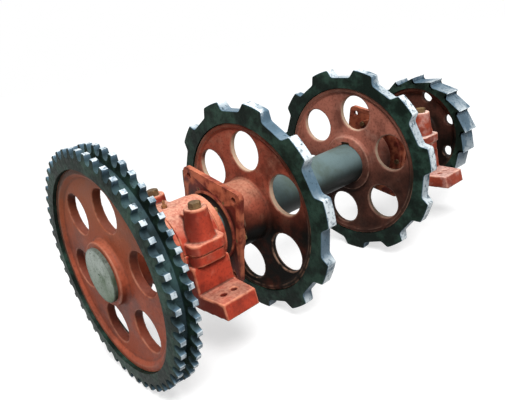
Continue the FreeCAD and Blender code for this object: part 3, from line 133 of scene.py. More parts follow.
def maths(tree, operation, a, b=0.0, clamp=False):
    settings = {"operation": operation, "use_clamp": clamp}
    return add(tree, "ShaderNodeMath", settings, _0=a, _1=b).outputs[0]


def times(tree, product, *others):
    for other in others:
        product = maths(tree, "MULTIPLY", product, other)
    return product


def spread(tree, value, low, high, to_low=0.0, to_high=1.0):
    """Maps a range of a value smoothly to another range."""
    settings = {"interpolation_type": "SMOOTHSTEP"}
    return add(tree, "ShaderNodeMapRange", settings, Value=value, From_Min=low, From_Max=high,
               To_Min=to_low, To_Max=to_high).outputs[0]


def noise(tree, vector, scale, detail=4.0, roughness=0.55):
    return add(tree, "ShaderNodeTexNoise", Vector=vector, Scale=scale, Detail=detail,
               Roughness=roughness).outputs["Fac"]


print("helpers ready")

# %% [markdown]
# Workshop grime lies on nearly every surface here, in soft blotches with a finer speckle and a grain on
# top. It could be painted on, but noise on Object coordinates needs no unwrapping and never repeats. It is
# built once, as a node group, and each material places it with its own scales.

# %% Grime
VECTOR = "NodeSocketVector"
NUMBERS = {float: "NodeSocketFloat", int: "NodeSocketInt"}
CLOUDS = {"Blotch": (6.0, 0.62), "Speck": (3.0, 0.6), "Grain": (2.0, 0.5)}  # detail, roughness


def new_group(name, inputs, outputs, kind="ShaderNodeTree", gives="NodeSocketFloat"):
    """A node group with named sockets. An input is a type of socket, or a number, which is its default."""
    tree = bpy.data.node_groups.new(name, kind)
    for label, value in inputs.items():
        socket_type = NUMBERS.get(type(value), value)
        socket = tree.interface.new_socket(label, in_out="INPUT", socket_type=socket_type)
        if type(value) in NUMBERS:
            socket.default_value = value
    for label in outputs:
        tree.interface.new_socket(label, in_out="OUTPUT", socket_type=gives)
    return tree, tree.nodes.new("NodeGroupInput").outputs, tree.nodes.new("NodeGroupOutput").inputs


grime_group, taken, given = new_group(
    "grime", {"Vector": VECTOR, "Blotch Scale": 9.0, "Speck Scale": 90.0, "Grain Scale": 400.0}, CLOUDS)
for label, (detail, roughness) in CLOUDS.items():
    cloud = noise(grime_group, taken["Vector"], taken[label + " Scale"], detail, roughness)
    connect(grime_group, given, **{label: cloud})
print("group", grime_group.name, "gives", list(CLOUDS))

# %% [markdown]
# Edges are rubbed down to metal where a piece was rolled about, and their pale colour is also a painted
# highlight. The hollows are darkened, as dirt and as painted shade. Both follow the mesh's own curvature,
# which Blender calls pointiness, so no edge has to be picked by hand. Noise breaks the rubbed line up into
# patches.

# %% Rubbed edges
RUBBED_PATCHES = (0.35, 0.6)
HOLLOW_CURVE = (0.496, 0.465)
rubbed_group, taken, given = new_group(
    "rubbed_edges", {"Vector": VECTOR, "Start": 0.515, "Full": 0.56, "Patch Scale": 35.0},
    ["Edge", "Hollow"])
curve = rubbed_group.nodes.new("ShaderNodeNewGeometry").outputs["Pointiness"]
patches = spread(rubbed_group, noise(rubbed_group, taken["Vector"], taken["Patch Scale"]), *RUBBED_PATCHES)
edge = spread(rubbed_group, curve, taken["Start"], taken["Full"])
connect(rubbed_group, given, Edge=times(rubbed_group, edge, patches),
        Hollow=spread(rubbed_group, curve, *HOLLOW_CURVE))
print("group", rubbed_group.name)

# %% [markdown]
# Dirt also gathers by place, so a material has to know where a point lies about the shaft: how far along
# it, how high above it and how far from it. Every piece sits at the origin with its place in its mesh, so
# Object coordinates give all three, in metres.

# %% Place about the shaft
def split(tree, vector):
    """The three parts of a vector."""
    return add(tree, "ShaderNodeSeparateXYZ", Vector=vector).outputs


place_group, taken, given = new_group(
    "place_about_shaft", {"Vector": VECTOR}, ["Along", "Height", "Radius"])
parts = split(place_group, taken["Vector"])
above = maths(place_group, "SUBTRACT", parts["Z"], axis_height)
across_squared = times(place_group, parts["X"], parts["X"])
squares = maths(place_group, "ADD", times(place_group, above, above), across_squared)
connect(place_group, given, Along=parts["Y"], Height=above, Radius=maths(place_group, "SQRT", squares))
print("group", place_group.name)

# %% [markdown]
# Dust lies on what looks up, and its pale colour is also a painted highlight on the tops. Grease collects
# low down, and its dark is also painted shade towards the bottom. Each is a mask, and the material that uses
# it brings the colour. Which way a surface looks is read in the piece's own frame, so that these marks turn
# with its wheel.

# %% Dust and grease, with painted highlight and shade
DUST_AND_HIGHLIGHT_SLOPE = (0.35, 0.95)
DUST_AND_HIGHLIGHT_BREAKS = (0.35, 0.65, 1.0, 0.45)
DUST_AND_HIGHLIGHT_HEIGHTS = (-0.06, 0.06, 0.55, 1.0)
GREASE_AND_SHADE_HEIGHTS = (0.07, -0.03)
GREASE_AND_SHADE_SMEARS = (0.3, 0.55, 0.85, 1.0)
dust_and_highlight_group, taken, given = new_group(
    "dust", {"Normal": VECTOR, "Height": 0.0, "Speck": 0.5, "Amount": 0.5}, ["Mask"])
# Pale on what looks up: dust, and a painted highlight from light above.
lying = spread(dust_and_highlight_group, split(dust_and_highlight_group, taken["Normal"])["Z"], *DUST_AND_HIGHLIGHT_SLOPE, 0.0, taken["Amount"])
broken = spread(dust_and_highlight_group, taken["Speck"], *DUST_AND_HIGHLIGHT_BREAKS)
higher = spread(dust_and_highlight_group, taken["Height"], *DUST_AND_HIGHLIGHT_HEIGHTS)
connect(dust_and_highlight_group, given, Mask=times(dust_and_highlight_group, lying, broken, higher))

grease_and_shade_group, taken, given = new_group("grease", {"Height": 0.0, "Blotch": 0.5, "Amount": 0.9}, ["Mask"])
# Darker low down: grease, and painted shade towards the bottom.
low_down = spread(grease_and_shade_group, taken["Height"], *GREASE_AND_SHADE_HEIGHTS, 0.0, taken["Amount"])
smeared = spread(grease_and_shade_group, taken["Blotch"], *GREASE_AND_SHADE_SMEARS)
connect(grease_and_shade_group, given, Mask=times(grease_and_shade_group, low_down, smeared))
print("groups", dust_and_highlight_group.name, grease_and_shade_group.name)

# %% [markdown]
# Two more masks belong to the wheels: a dark line where the web meets the toothed ring, which is painted
# shade and is left out low down, and another colour on the walls of the web holes, which is painted shade
# on the sprocket and worn paint with a painted highlight on the chain wheels. The line is a narrow band of
# radii. A wall is known by its slope, because it looks across the shaft, and the web's own faces look along
# it.

# %% Rim line and hole walls
RIM_BEFORE, RIM_AFTER = 0.002, 0.001
RIM_HEIGHTS = (-0.18, -0.08)
WALL_SLOPE = (0.75, 0.35)
PAST_HUB, BEFORE_RIM = (0.092, 0.097), (0.197, 0.192)
# The dark line at the rim is painted shade.
rim_shade_group, taken, given = new_group(
    "rim_dirt", {"Radius": 0.0, "Height": 0.0, "Rim": 0.2, "Amount": 0.5}, ["Mask"])
rim_from = maths(rim_shade_group, "SUBTRACT", taken["Rim"], RIM_BEFORE)
rim_to = maths(rim_shade_group, "ADD", taken["Rim"], RIM_AFTER)
by_rim = spread(rim_shade_group, taken["Radius"], rim_from, rim_to, 0.0, taken["Amount"])
not_low = spread(rim_shade_group, taken["Height"], *RIM_HEIGHTS)
connect(rim_shade_group, given, Mask=times(rim_shade_group, by_rim, not_low))

walls_group, taken, given = new_group(
    "hole_walls", {"Normal": VECTOR, "Radius": 0.0, "Amount": 0.6}, ["Mask"])
flatness = maths(walls_group, "ABSOLUTE", split(walls_group, taken["Normal"])["Y"])
wall = spread(walls_group, flatness, *WALL_SLOPE, 0.0, taken["Amount"])
past_hub = spread(walls_group, taken["Radius"], *PAST_HUB)
before_rim = spread(walls_group, taken["Radius"], *BEFORE_RIM)
connect(walls_group, given, Mask=times(walls_group, past_hub, before_rim, wall))
print("groups", rim_shade_group.name, walls_group.name)

# %% [markdown]
# A finish is built up in layers, as dirt builds up on real paint: a base colour, and then other colours,
# each laid on where its mask says. Colours are written as the eye sees them on a screen and turned to
# linear light.

# %% Colours in layers
def ink(red, green, blue):
    """A screen colour in 0 to 255 as linear light."""
    def linear(v):
        v = v / 255
        return v / 12.92 if v <= 0.04045 else ((v + 0.055) / 1.055) ** 2.4
    return (linear(red), linear(green), linear(blue), 1.0)


def blend_colour(tree, factor, a, b):
    return add(tree, "ShaderNodeMix", {"data_type": "RGBA"}, _0=factor, _6=a, _7=b).outputs[2]


def layered(tree, base, layers):
    """Lays colours over a base colour, each where its mask says. Colours are screen colours."""
    colour = ink(*base)
    for mask, coat in layers:
        colour = blend_colour(tree, mask, colour, ink(*coat))
    return colour


def new_material(name):
    """A material with its node tree, the sockets of its shader, and its texture coordinates."""
    material = bpy.data.materials.new(name)
    material.use_nodes = True
    tree = material.node_tree
    shader = tree.nodes["Principled BSDF"].inputs
    return material, tree, shader, tree.nodes.new("ShaderNodeTexCoord").outputs


def use_group(tree, group, **values):
    return add(tree, "ShaderNodeGroup", {"node_tree": group}, **values).outputs


def bump(tree, shader, height, strength, distance):
    node = add(tree, "ShaderNodeBump", Height=height, Strength=strength, Distance=distance)
    connect(tree, shader, Normal=node.outputs["Normal"])


print("mid grey is", round(ink(128, 128, 128)[0], 3), "in linear light")

# %% [markdown]
# The castings wear red oxide primer. Old primer isn't one colour. It is darker where oil has soaked in,
# paler where it is chalky, and it keeps the fine grain of the sand mould, which is a bump and a change of
# gloss rather than more polygons. A coat has only the layers that its piece has caught.

# %% Primer
PRIMER_GRIME = {"Blotch_Scale": 11.0, "Speck_Scale": 150.0, "Grain_Scale": 520.0}
CHALK_SCALE = 26.0
OIL_BLOTCHES, OIL_SPECKS = (0.42, 0.66), (0.48, 0.7, 0.0, 0.42)
CHALK_PATCHES = (0.48, 0.7)
TINT_HEIGHTS = (-0.02, 0.16, 0.0, 0.6)
SIDE_SHADE_SLOPE = (-0.15, -0.9)
HOLLOW_SHARE, BARE_SHARE = 0.8, 0.55
DULL_BLOTCHES, DULLER = (0.3, 0.7), 0.18
SAND_SPECKS = 1.5
SAND_BUMP = (0.34, 0.0012)
GREASE_AND_SHADE_BLACK, RIM_SHADE, HOLLOW_DIRT_AND_SHADE = (15, 14, 12), (38, 35, 28), (44, 26, 21)


def primer(name, paint, oil_and_shade, chalk_and_highlight, bare_and_highlight, oil=0.7, chalk=0.3, gloss=0.42, shine=0.1, worn=(0.506, 0.53),
           dust=0.0, grease=0.0, walls=None, rim=None, high_tint=None, side_shade=0.0):
    """Red oxide primer. walls is (amount, colour) in the web holes, rim is (amount, radius) of its painted
    shade.
    """
    material, tree, shader, at = new_material(name)
    dirt = use_group(tree, grime_group, Vector=at["Object"], **PRIMER_GRIME)
    edges = use_group(tree, rubbed_group, Vector=at["Object"], Start=worn[0], Full=worn[1])
    place = use_group(tree, place_group, Vector=at["Object"])
    height, radius = place["Height"], place["Radius"]
    layers = [(spread(tree, dirt["Blotch"], *OIL_BLOTCHES, 0.0, oil), oil_and_shade),
              (spread(tree, noise(tree, at["Object"], CHALK_SCALE), *CHALK_PATCHES, 0.0, chalk), chalk_and_highlight),
              (spread(tree, dirt["Speck"], *OIL_SPECKS), oil_and_shade)]
    if high_tint:
        layers.append((spread(tree, height, *TINT_HEIGHTS), high_tint))
    # Dust on what looks up, in the chalky colour, is also a painted highlight on top faces.
    if dust:
        lying = use_group(tree, dust_and_highlight_group, Normal=at["Normal"], Height=height, Speck=dirt["Speck"],
                          Amount=dust)
        layers.append((lying["Mask"], chalk_and_highlight))
    # Hole walls: painted shade where dark, worn paint with a painted highlight where pale.
    if walls:
        in_holes = use_group(tree, walls_group, Normal=at["Normal"], Radius=radius, Amount=walls[0])
        layers.append((in_holes["Mask"], walls[1]))
    # Grease and painted shade on what lies low.
    if grease:
        low_grease_and_shade = use_group(tree, grease_and_shade_group, Height=height, Blotch=dirt["Blotch"], Amount=grease)
        layers.append((low_grease_and_shade["Mask"], GREASE_AND_SHADE_BLACK))
    # Faces that look towards the sprocket are darkened: painted shade.
    if side_shade:
        layers.append((spread(tree, split(tree, at["Normal"])["Y"], *SIDE_SHADE_SLOPE, 0.0, side_shade), oil_and_shade))
    # A dark line at the rim: painted shade.
    if rim:
        line = use_group(tree, rim_shade_group, Radius=radius, Height=height, Rim=rim[1], Amount=rim[0])
        layers.append((line["Mask"], RIM_SHADE))
    # Hollows darkened as dirt and painted shade, edges pale as wear and a painted highlight.
    layers += [(times(tree, edges["Hollow"], HOLLOW_SHARE), HOLLOW_DIRT_AND_SHADE),
               (times(tree, edges["Edge"], BARE_SHARE), bare_and_highlight)]
    connect(tree, shader, Base_Color=layered(tree, paint, layers), Specular_IOR_Level=shine,
            Roughness=spread(tree, dirt["Blotch"], *DULL_BLOTCHES, gloss + DULLER, gloss))
    sand = maths(tree, "ADD", dirt["Grain"], times(tree, dirt["Speck"], SAND_SPECKS))
    bump(tree, shader, sand, *SAND_BUMP)
    return material


print("primer with grain", PRIMER_GRIME)

# %% [markdown]
# The coats differ from piece to piece: brown-red on the sprocket and plates, greasy on the chain wheels,
# with painted shade low down, brighter orange-red on the block by the sprocket, and faded on the other
# block. One table holds what differs, so that two coats can be compared line by line.

# %% Coats of primer
PRIMERS = {
    # Hole walls are dark on the sprocket, as painted shade, and pale on the chain wheels, as wear and a
    # painted highlight.
    "red_primer": dict(
        paint=(150, 73, 50), oil_and_shade=(82, 40, 31), chalk_and_highlight=(176, 102, 80), bare_and_highlight=(170, 116, 94),
        dust=0.55, walls=(0.6, (64, 28, 23)), rim=(0.8, 0.209), high_tint=(146, 86, 56)),
    "greased_primer": dict(
        paint=(164, 83, 64), oil_and_shade=(68, 36, 29), chalk_and_highlight=(182, 132, 108), bare_and_highlight=(164, 128, 108),
        dust=0.75, grease=1.0, walls=(0.7, (186, 170, 146)), rim=(0.5, 0.204), shine=0.03),
    "brown_primer": dict(
        paint=(168, 104, 87), oil_and_shade=(74, 42, 35), chalk_and_highlight=(184, 138, 122), bare_and_highlight=(154, 118, 102),
        dust=0.6, grease=0.85, walls=(0.6, (186, 170, 146)), rim=(0.5, 0.204), shine=0.04),
    # The ratchet centre's coat is painted dark, as painted shade.
    "dark_primer": dict(
        paint=(84, 50, 41), oil_and_shade=(34, 26, 22), chalk_and_highlight=(124, 80, 66), bare_and_highlight=(112, 86, 72),
        oil=0.95, grease=0.9, shine=0.04),
    "plate_primer": dict(
        paint=(110, 46, 37), oil_and_shade=(62, 30, 26), chalk_and_highlight=(136, 78, 64), bare_and_highlight=(220, 132, 96),
        chalk=0.2, worn=(0.512, 0.54)),
    # On the block by the sprocket, faces towards the sprocket carry painted shade, and pale tops are dust
    # and a painted highlight.
    "orange_primer": dict(
        paint=(174, 64, 45), oil_and_shade=(98, 38, 30), chalk_and_highlight=(208, 160, 136), bare_and_highlight=(214, 140, 108),
        oil=0.85, chalk=0.2, dust=0.78, side_shade=0.75),
    # The far block's pale tops are dust and a painted highlight.
    "faded_primer": dict(
        paint=(158, 70, 50), oil_and_shade=(98, 42, 33), chalk_and_highlight=(240, 212, 200), bare_and_highlight=(226, 180, 158), dust=0.95),
}
finish = {name: primer(name, **coat) for name, coat in PRIMERS.items()}
print("primers", sorted(finish))

# %% [markdown]
# The toothed rings are dark with scale and old grease on their sides, and bright where the chain runs. The
# mesh code that draws a tooth knows which rows lie on the land, so it stores that as an attribute, and the
# material only has to read it. The attribute also grades the metal from a darker gap floor to a brighter
# tip, as painted shade in the gaps and a painted highlight on the tips. Curvature alone would also brighten
# the edges that no chain touches.

# %% Scale and run metal
TOOTH_GRIME = {"Blotch_Scale": 16.0, "Speck_Scale": 110.0, "Grain_Scale": 500.0}
TOOTH_EDGES = {"Start": 0.52, "Full": 0.6, "Patch_Scale": 60.0}
TOOTH_SHINE = 0.07
WORN_BLOTCHES, WORN_EDGES = (0.3, 0.52, 0.6, 1.0), (0.02, 0.3, 0.0, 0.5)
SCALE_PATCHES, SCALE_SPECKS = (0.42, 0.66), (0.52, 0.72, 0.0, 0.6)
DULL_SPECKS, DARK_SPECKS = (0.5, 0.66, 0.0, 0.7), (0.58, 0.74, 0.0, 0.7)
BARE_WEAR, BRIGHT_WEAR = (0.05, 0.5), (0.55, 0.95)
METAL_WEAR = (0.1, 1.0, 0.0, 0.25)
SPECK_ROUGH, WEAR_ROUGH = (0.3, 0.7, 0.42, 0.6), -0.1
PIT_SPECKS = 2.0
PIT_BUMP = (0.3, 0.0012)
SCALE_BLACK = (18, 20, 18)


def toothed_steel(name, scale, patch, run, bright):
    """Dark scale on the sides. Run metal where the attribute says so, and bright metal, a painted highlight,
    at its highest.
    """
    material, tree, shader, at = new_material(name)
    dirt = use_group(tree, grime_group, Vector=at["Object"], **TOOTH_GRIME)
    edges = use_group(tree, rubbed_group, Vector=at["Object"], **TOOTH_EDGES)
    speck = dirt["Speck"]
    land = add(tree, "ShaderNodeAttribute", {"attribute_name": "land"}).outputs["Fac"]
    run_and_painted_light = times(tree, land, spread(tree, dirt["Blotch"], *WORN_BLOTCHES))
    rub = times(tree, edges["Edge"], spread(tree, land, *WORN_EDGES))
    worn = maths(tree, "ADD", run_and_painted_light, rub, clamp=True)
    side = layered(tree, scale, [(spread(tree, dirt["Blotch"], *SCALE_PATCHES), patch),
                                 (spread(tree, speck, *SCALE_SPECKS), SCALE_BLACK)])
    metal = layered(tree, run, [(spread(tree, worn, *BRIGHT_WEAR), bright),
                                (spread(tree, speck, *DULL_SPECKS), run),
                                (spread(tree, speck, *DARK_SPECKS), scale)])
    rough = maths(tree, "ADD", spread(tree, speck, *SPECK_ROUGH), times(tree, worn, WEAR_ROUGH))
    connect(tree, shader, Base_Color=blend_colour(tree, spread(tree, worn, *BARE_WEAR), side, metal),
            Metallic=spread(tree, worn, *METAL_WEAR), Roughness=rough, Specular_IOR_Level=TOOTH_SHINE)
    pits = maths(tree, "ADD", dirt["Grain"], times(tree, speck, PIT_SPECKS))
    bump(tree, shader, pits, *PIT_BUMP)
    return material


print("scale with grain", TOOTH_GRIME)

# %% [markdown]
# The shaft, its end plates and the bearings are turned on a lathe. The tool leaves fine lines, along the
# shaft on a bar and outwards on a disc, so one group draws lines from a single number: the place along the
# shaft or the distance from it. The bare shaft has painted shade on the side that looks down.

# %% Turned metal
TURNED_GRIME = {"Blotch_Scale": 14.0, "Speck_Scale": 160.0, "Grain_Scale": 600.0}
TURNED_SHINE = 0.12
LINE_DETAIL = 3.0
AGED_BLOTCHES, AGED_LINES, AGED_SPECKS = (0.4, 0.68), (0.4, 0.7, 0.0, 0.3), (0.5, 0.72)
DISC_HEIGHTS, DISC_RIM = (0.03, -0.05, 0.0, 0.6), (0.0545, 0.0585, 0.0, 0.7)
UNDERSIDE_SHADE_SLOPE = (0.55, -0.3)
LINE_ROUGH, GRIT_ROUGH = (0.35, 0.65, 0.36, 0.5), 0.08
LINE_GRAIN = 0.5
LINE_BUMP = (0.2, 0.0004)
TURNED_SPECK, DISC_SHADE, UNDERSIDE_SHADE_BLACK = (52, 56, 52), (38, 42, 34), (20, 21, 19)
lines_group, taken, given = new_group("tool_lines", {"Place": 0.0, "Scale": 900.0}, ["Lines"])
tool_noise = add(lines_group, "ShaderNodeTexNoise", {"noise_dimensions": "1D"}, W=taken["Place"],
                 Scale=taken["Scale"], Detail=LINE_DETAIL)
connect(lines_group, given, Lines=tool_noise.outputs["Fac"])


def turned_metal(name, base, dull, line_scale, faced=False, metallic=0.0, specks=0.4, underside_shade=0.0):
    """Metal from the lathe. A faced disc has lines round its middle, painted shade on its lower half and a
    dark rim.
    """
    material, tree, shader, at = new_material(name)
    place = use_group(tree, place_group, Vector=at["Object"])
    tool_place = place["Radius" if faced else "Along"]
    lines = use_group(tree, lines_group, Place=tool_place, Scale=line_scale)["Lines"]
    dirt = use_group(tree, grime_group, Vector=at["Object"], **TURNED_GRIME)
    layers = [(spread(tree, dirt["Blotch"], *AGED_BLOTCHES), dull),
              (spread(tree, lines, *AGED_LINES), dull),
              (spread(tree, dirt["Speck"], *AGED_SPECKS, 0.0, specks), TURNED_SPECK)]
    if faced:
        # A faced disc: painted shade on its lower half, and a dark rim.
        layers += [(spread(tree, place["Height"], *DISC_HEIGHTS), dull),
                   (spread(tree, place["Radius"], *DISC_RIM), DISC_SHADE)]
    # Painted shade on the side that looks down.
    if underside_shade:
        layers.append((spread(tree, split(tree, at["Normal"])["Z"], *UNDERSIDE_SHADE_SLOPE, 0.0, underside_shade), UNDERSIDE_SHADE_BLACK))
    rough = maths(tree, "ADD", spread(tree, lines, *LINE_ROUGH), times(tree, dirt["Speck"], GRIT_ROUGH))
    connect(tree, shader, Base_Color=layered(tree, base, layers), Metallic=metallic, Roughness=rough,
            Specular_IOR_Level=TURNED_SHINE)
    bump(tree, shader, maths(tree, "ADD", lines, times(tree, dirt["Grain"], LINE_GRAIN)), *LINE_BUMP)
    return material


print("group", lines_group.name)

# %% [markdown]
# Tables hold what differs from metal to metal, as with the primers. The screws have the same kind of scale
# as the teeth, in brown, and nothing runs on them.

# %% Steels and brasses
SCALED = {
    "toothed_steel": dict(
        scale=(16, 26, 21), patch=(46, 68, 58), run=(80, 102, 117), bright=(216, 224, 227)),
    "fastener_steel": dict(
        scale=(120, 96, 66), patch=(84, 66, 50), run=(156, 140, 104), bright=(206, 196, 170)),
}
TURNED = {
    "turned_steel": dict(base=(96, 115, 117), dull=(80, 93, 87), line_scale=900.0, specks=0.12, underside_shade=0.95),
    "faced_steel": dict(base=(180, 190, 182), dull=(70, 94, 62), line_scale=700.0, specks=0.8, faced=True),
    "bearing_steel": dict(base=(190, 194, 196), dull=(160, 165, 168), line_scale=1500.0, metallic=0.6),
    "cage_brass": dict(base=(190, 150, 78), dull=(150, 112, 56), line_scale=1200.0, metallic=0.6),
    "nipple_brass": dict(base=(150, 104, 66), dull=(110, 70, 48), line_scale=2000.0, metallic=0.2),
}
finish.update({name: toothed_steel(name, **steel) for name, steel in SCALED.items()})
finish.update({name: turned_metal(name, **metal) for name, metal in TURNED.items()})
print("metals", sorted(SCALED) + sorted(TURNED))

# %% [markdown]
# The felt rings hide inside the covers and seal plates, and only a thin dark line of them can be seen.
# Felt is matted fibre: rough, with no shine and a fine tangle in its surface.

# %% Felt
FELT_DARK, FELT_PALE = (34, 24, 20), (66, 48, 40)
FELT_ROUGH = (0.2, 0.8, 0.85, 1.0)
finish["felt"], felt_tree, felt_shader, felt_at = new_material("felt")
fibres = noise(felt_tree, felt_at["Object"], scale=700.0, detail=5.0, roughness=0.7)
connect(felt_tree, felt_shader, Base_Color=layered(felt_tree, FELT_DARK, [(fibres, FELT_PALE)]),
        Roughness=spread(felt_tree, fibres, *FELT_ROUGH))
bump(felt_tree, felt_shader, fibres, strength=0.6, distance=0.0008)
print("finishes", sorted(finish))

# %% [markdown]
# Every CAD node gets its finish now, before any piece is made from it, because a copy of its mesh takes
# the finish along. Most nodes wear the finish of their slot in the imported record. A few have a coat of
# their own, such as the wheels, which differ in how much grease and dust they have caught, and in their
# painted shade and highlight.

# %% A finish for every CAD node
OWN_FINISH = {
    "drive_end_plate": "faced_steel", "drive_end_screw": "faced_steel",
    "ratchet_end_plate": "faced_steel", "ratchet_end_screw": "faced_steel",
    "drive_side_wheel_centre": "greased_primer", "ratchet_side_wheel_centre": "brown_primer",
    "ratchet_centre": "dark_primer",
    "ratchet_side_block_base": "faded_primer", "ratchet_side_block_cap": "faded_primer",
}
slot_of_node = {row["node"]: row["material_slot"] for row in frame["record"]["subparts"]}
for node, piece in frame["nodes"].items():
    piece.data.materials.clear()
    piece.data.materials.append(finish[OWN_FINISH.get(node, slot_of_node[node])])
print("finished CAD nodes", len(frame["nodes"]))

# %% [markdown]
# The solids have sharp edges, so most pieces that show are made anew, many from copies of the solids. A
# imported mesh is loose triangles, so a copy is merged first. When its modifiers have done their work they
# are turned into plain mesh, and the piece stands for its node, on the same body and with the same finish.

# %% Copies that stand for CAD nodes
MM = 0.001
WELD = 0.01 * MM
FLAT_ANGLE = 0.5
bodies = frame["record"]["behaviour"]["bodies"]
body_of_node = {node: body for body, nodes in bodies.items() for node in nodes}


def merged_copy(node, name):
    """A copy of a CAD node's mesh, with its loose triangles joined and flat faces made whole."""
    mesh = frame["nodes"][node].data.copy()
    if "custom_normal" in mesh.attributes:
        mesh.attributes.remove(mesh.attributes["custom_normal"])
    shape = bmesh.new()
    shape.from_mesh(mesh)
    bmesh.ops.remove_doubles(shape, verts=shape.verts, dist=WELD)
    bmesh.ops.dissolve_limit(shape, angle_limit=math.radians(FLAT_ANGLE), verts=shape.verts,
                             edges=shape.edges)
    shape.to_mesh(mesh)
    shape.free()
    mesh.name = name
    return new_object(name, mesh)


def settle(piece, sharp=0):
    """Turns a piece's modifiers into plain mesh and shades it, sharp above an angle in degrees."""
    made = bpy.data.meshes.new_from_object(piece.evaluated_get(bpy.context.evaluated_depsgraph_get()))
    piece.modifiers.clear()
    piece.data = made
    made.name = piece.name
    made.shade_smooth()
    if sharp:
        made.set_sharp_from_angle(angle=math.radians(sharp))


def stand_for(piece, node):
    """Puts a finished piece in the place of a CAD node, on the node's body and with its finish."""
    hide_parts(node)
    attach(piece, body_of_node[node])
    print(piece.name, len(piece.data.polygons), "faces")


print("nodes on bodies", len(body_of_node))

# %% [markdown]
# The blocks and the wheel centres are sand castings. Nothing on a casting is sharp: every inside corner
# has a fillet and every edge is rounded by the mould. Bevels on single edges would give only the outer
# half of that, so each copy is rebuilt from small voxels and smoothed, which rounds both kinds of corner
# at once.

# %% Castings
CAST_VOXEL = 2.2 * MM
CAST_SMOOTHING = 0.5
CAST_ROUNDS = {
    "drive_sprocket_centre": 5, "drive_side_wheel_centre": 5, "ratchet_side_wheel_centre": 5,
    "ratchet_centre": 5, "drive_side_block_base": 7, "drive_side_block_cap": 7,
    "ratchet_side_block_base": 7, "ratchet_side_block_cap": 7,
}
for node, rounds in CAST_ROUNDS.items():
    piece = merged_copy(node, node + "_casting")
    remesh = piece.modifiers.new("voxels", "REMESH")
    remesh.mode = "VOXEL"
    remesh.voxel_size = CAST_VOXEL
    smooth = piece.modifiers.new("rounding", "SMOOTH")
    smooth.factor = CAST_SMOOTHING
    smooth.iterations = rounds
    settle(piece)
    stand_for(piece, node)

# %% [markdown]
# Covers, seal plates, end plates and the shaft are turned or cut from plate. Their edges are broken by a
# file, which leaves a narrow chamfer that catches the light. A Bevel modifier limited by angle does just
# that on a copy of the solid, and weighted normals keep the wide faces flat beside the narrow ones.

# %% Turned and flat pieces
SIDES = ("drive_side", "ratchet_side")
EDGE_ANGLE = 35


def edged(node, width, segments=2):
    """Stands a copy with broken edges in the place of a CAD node."""
    piece = merged_copy(node, node + "_edged")
    edges = piece.modifiers.new("edges", "BEVEL")
    edges.width = width
    edges.segments = segments
    edges.limit_method = "ANGLE"
    edges.angle_limit = math.radians(EDGE_ANGLE)
    normals = piece.modifiers.new("normals", "WEIGHTED_NORMAL")
    normals.keep_sharp = True
    piece.data.shade_smooth()
    settle(piece)
    stand_for(piece, node)


edged("shaft", width=1.2 * MM)
for end in ("drive", "ratchet"):
    edged(end + "_end_plate", width=0.6 * MM)
    edged(end + "_end_screw", width=0.5 * MM)
for side in SIDES:
    for cover in ("_outer_cover", "_inner_cover"):
        edged(side + cover, width=1.6 * MM, segments=3)
    edged(side + "_seal_plate", width=1.2 * MM)
    edged(side + "_seal_gland", width=1.0 * MM)
    edged(side + "_grease_nipple", width=0.4 * MM)

# %% [markdown]
# Each toothed ring is one tooth repeated round the shaft. Drawing the whole ring by hand would hide that
# rule, so the mesh code draws a single sector with one tooth, and a Geometry Nodes tree turns copies of it
# about the axis and welds them. The number of teeth is an input of the tree.

# %% A tree that repeats a tooth
GEOMETRY_TREE = "GeometryNodeTree"
SHAPE, MATERIAL = "NodeSocketGeometry", "NodeSocketMaterial"
SECTOR_WELD = 0.02 * MM


def realized(tree, copies, material, weld=0.0):
    """Makes copies real, welds them where they meet, and coats them."""
    shape = add(tree, "GeometryNodeRealizeInstances", Geometry=copies.outputs[0]).outputs[0]
    if weld:
        shape = add(tree, "GeometryNodeMergeByDistance", Geometry=shape, Distance=weld).outputs[0]
    return add(tree, "GeometryNodeSetMaterial", Geometry=shape, Material=material).outputs[0]


ring, taken, given = new_group(
    "toothed_ring", {"Geometry": SHAPE, "Teeth": 12, "Phase": 0.0, "Place": VECTOR, "Material": MATERIAL},
    ["Geometry"], GEOMETRY_TREE, SHAPE)
step = maths(ring, "DIVIDE", 2 * math.pi, taken["Teeth"])
index = ring.nodes.new("GeometryNodeInputIndex").outputs[0]
angle = maths(ring, "ADD", times(ring, index, step), taken["Phase"])
turn = add(ring, "ShaderNodeCombineXYZ", Y=angle).outputs[0]
spots = add(ring, "GeometryNodePoints", Count=taken["Teeth"], Position=taken["Place"]).outputs[0]
copies = add(ring, "GeometryNodeInstanceOnPoints", Points=spots, Instance=taken["Geometry"], Rotation=turn)
connect(ring, given, Geometry=realized(ring, copies, taken["Material"], SECTOR_WELD))
print("tree", ring.name, "inputs", [s.name for s in taken if s.name])

# %% [markdown]
# A sector is a sheet of rows and columns. The columns follow the outline of the tooth. The rows run across
# the rim: up one side, over the rounded corner, across the land, and down the other side. The corner is a
# quarter circle in three steps, so that it catches a thin line of light as a rubbed edge does. Each point
# also has a number for how bright its metal shows, rising from the floor of a gap to the tip of a tooth: the
# chain's wear, with painted shade in the gaps and a painted highlight on the tips.

# %% Rows over a tooth
CORNER_STEPS = (0, 30, 60, 90)
FLAT_MARGIN = 0.8 * MM


def offset_outline(points, depth):
    """The outline moved inwards, square to itself. Its ends move along the radius, so that sectors meet."""
    moved = []
    for i, point in enumerate(points):
        if i in (0, len(points) - 1):
            outward = point.normalized()
        else:
            along = (points[i + 1] - points[i - 1]).normalized()
            outward = Vector((-along.y, along.x))
        moved.append(point - outward * depth)
    return moved


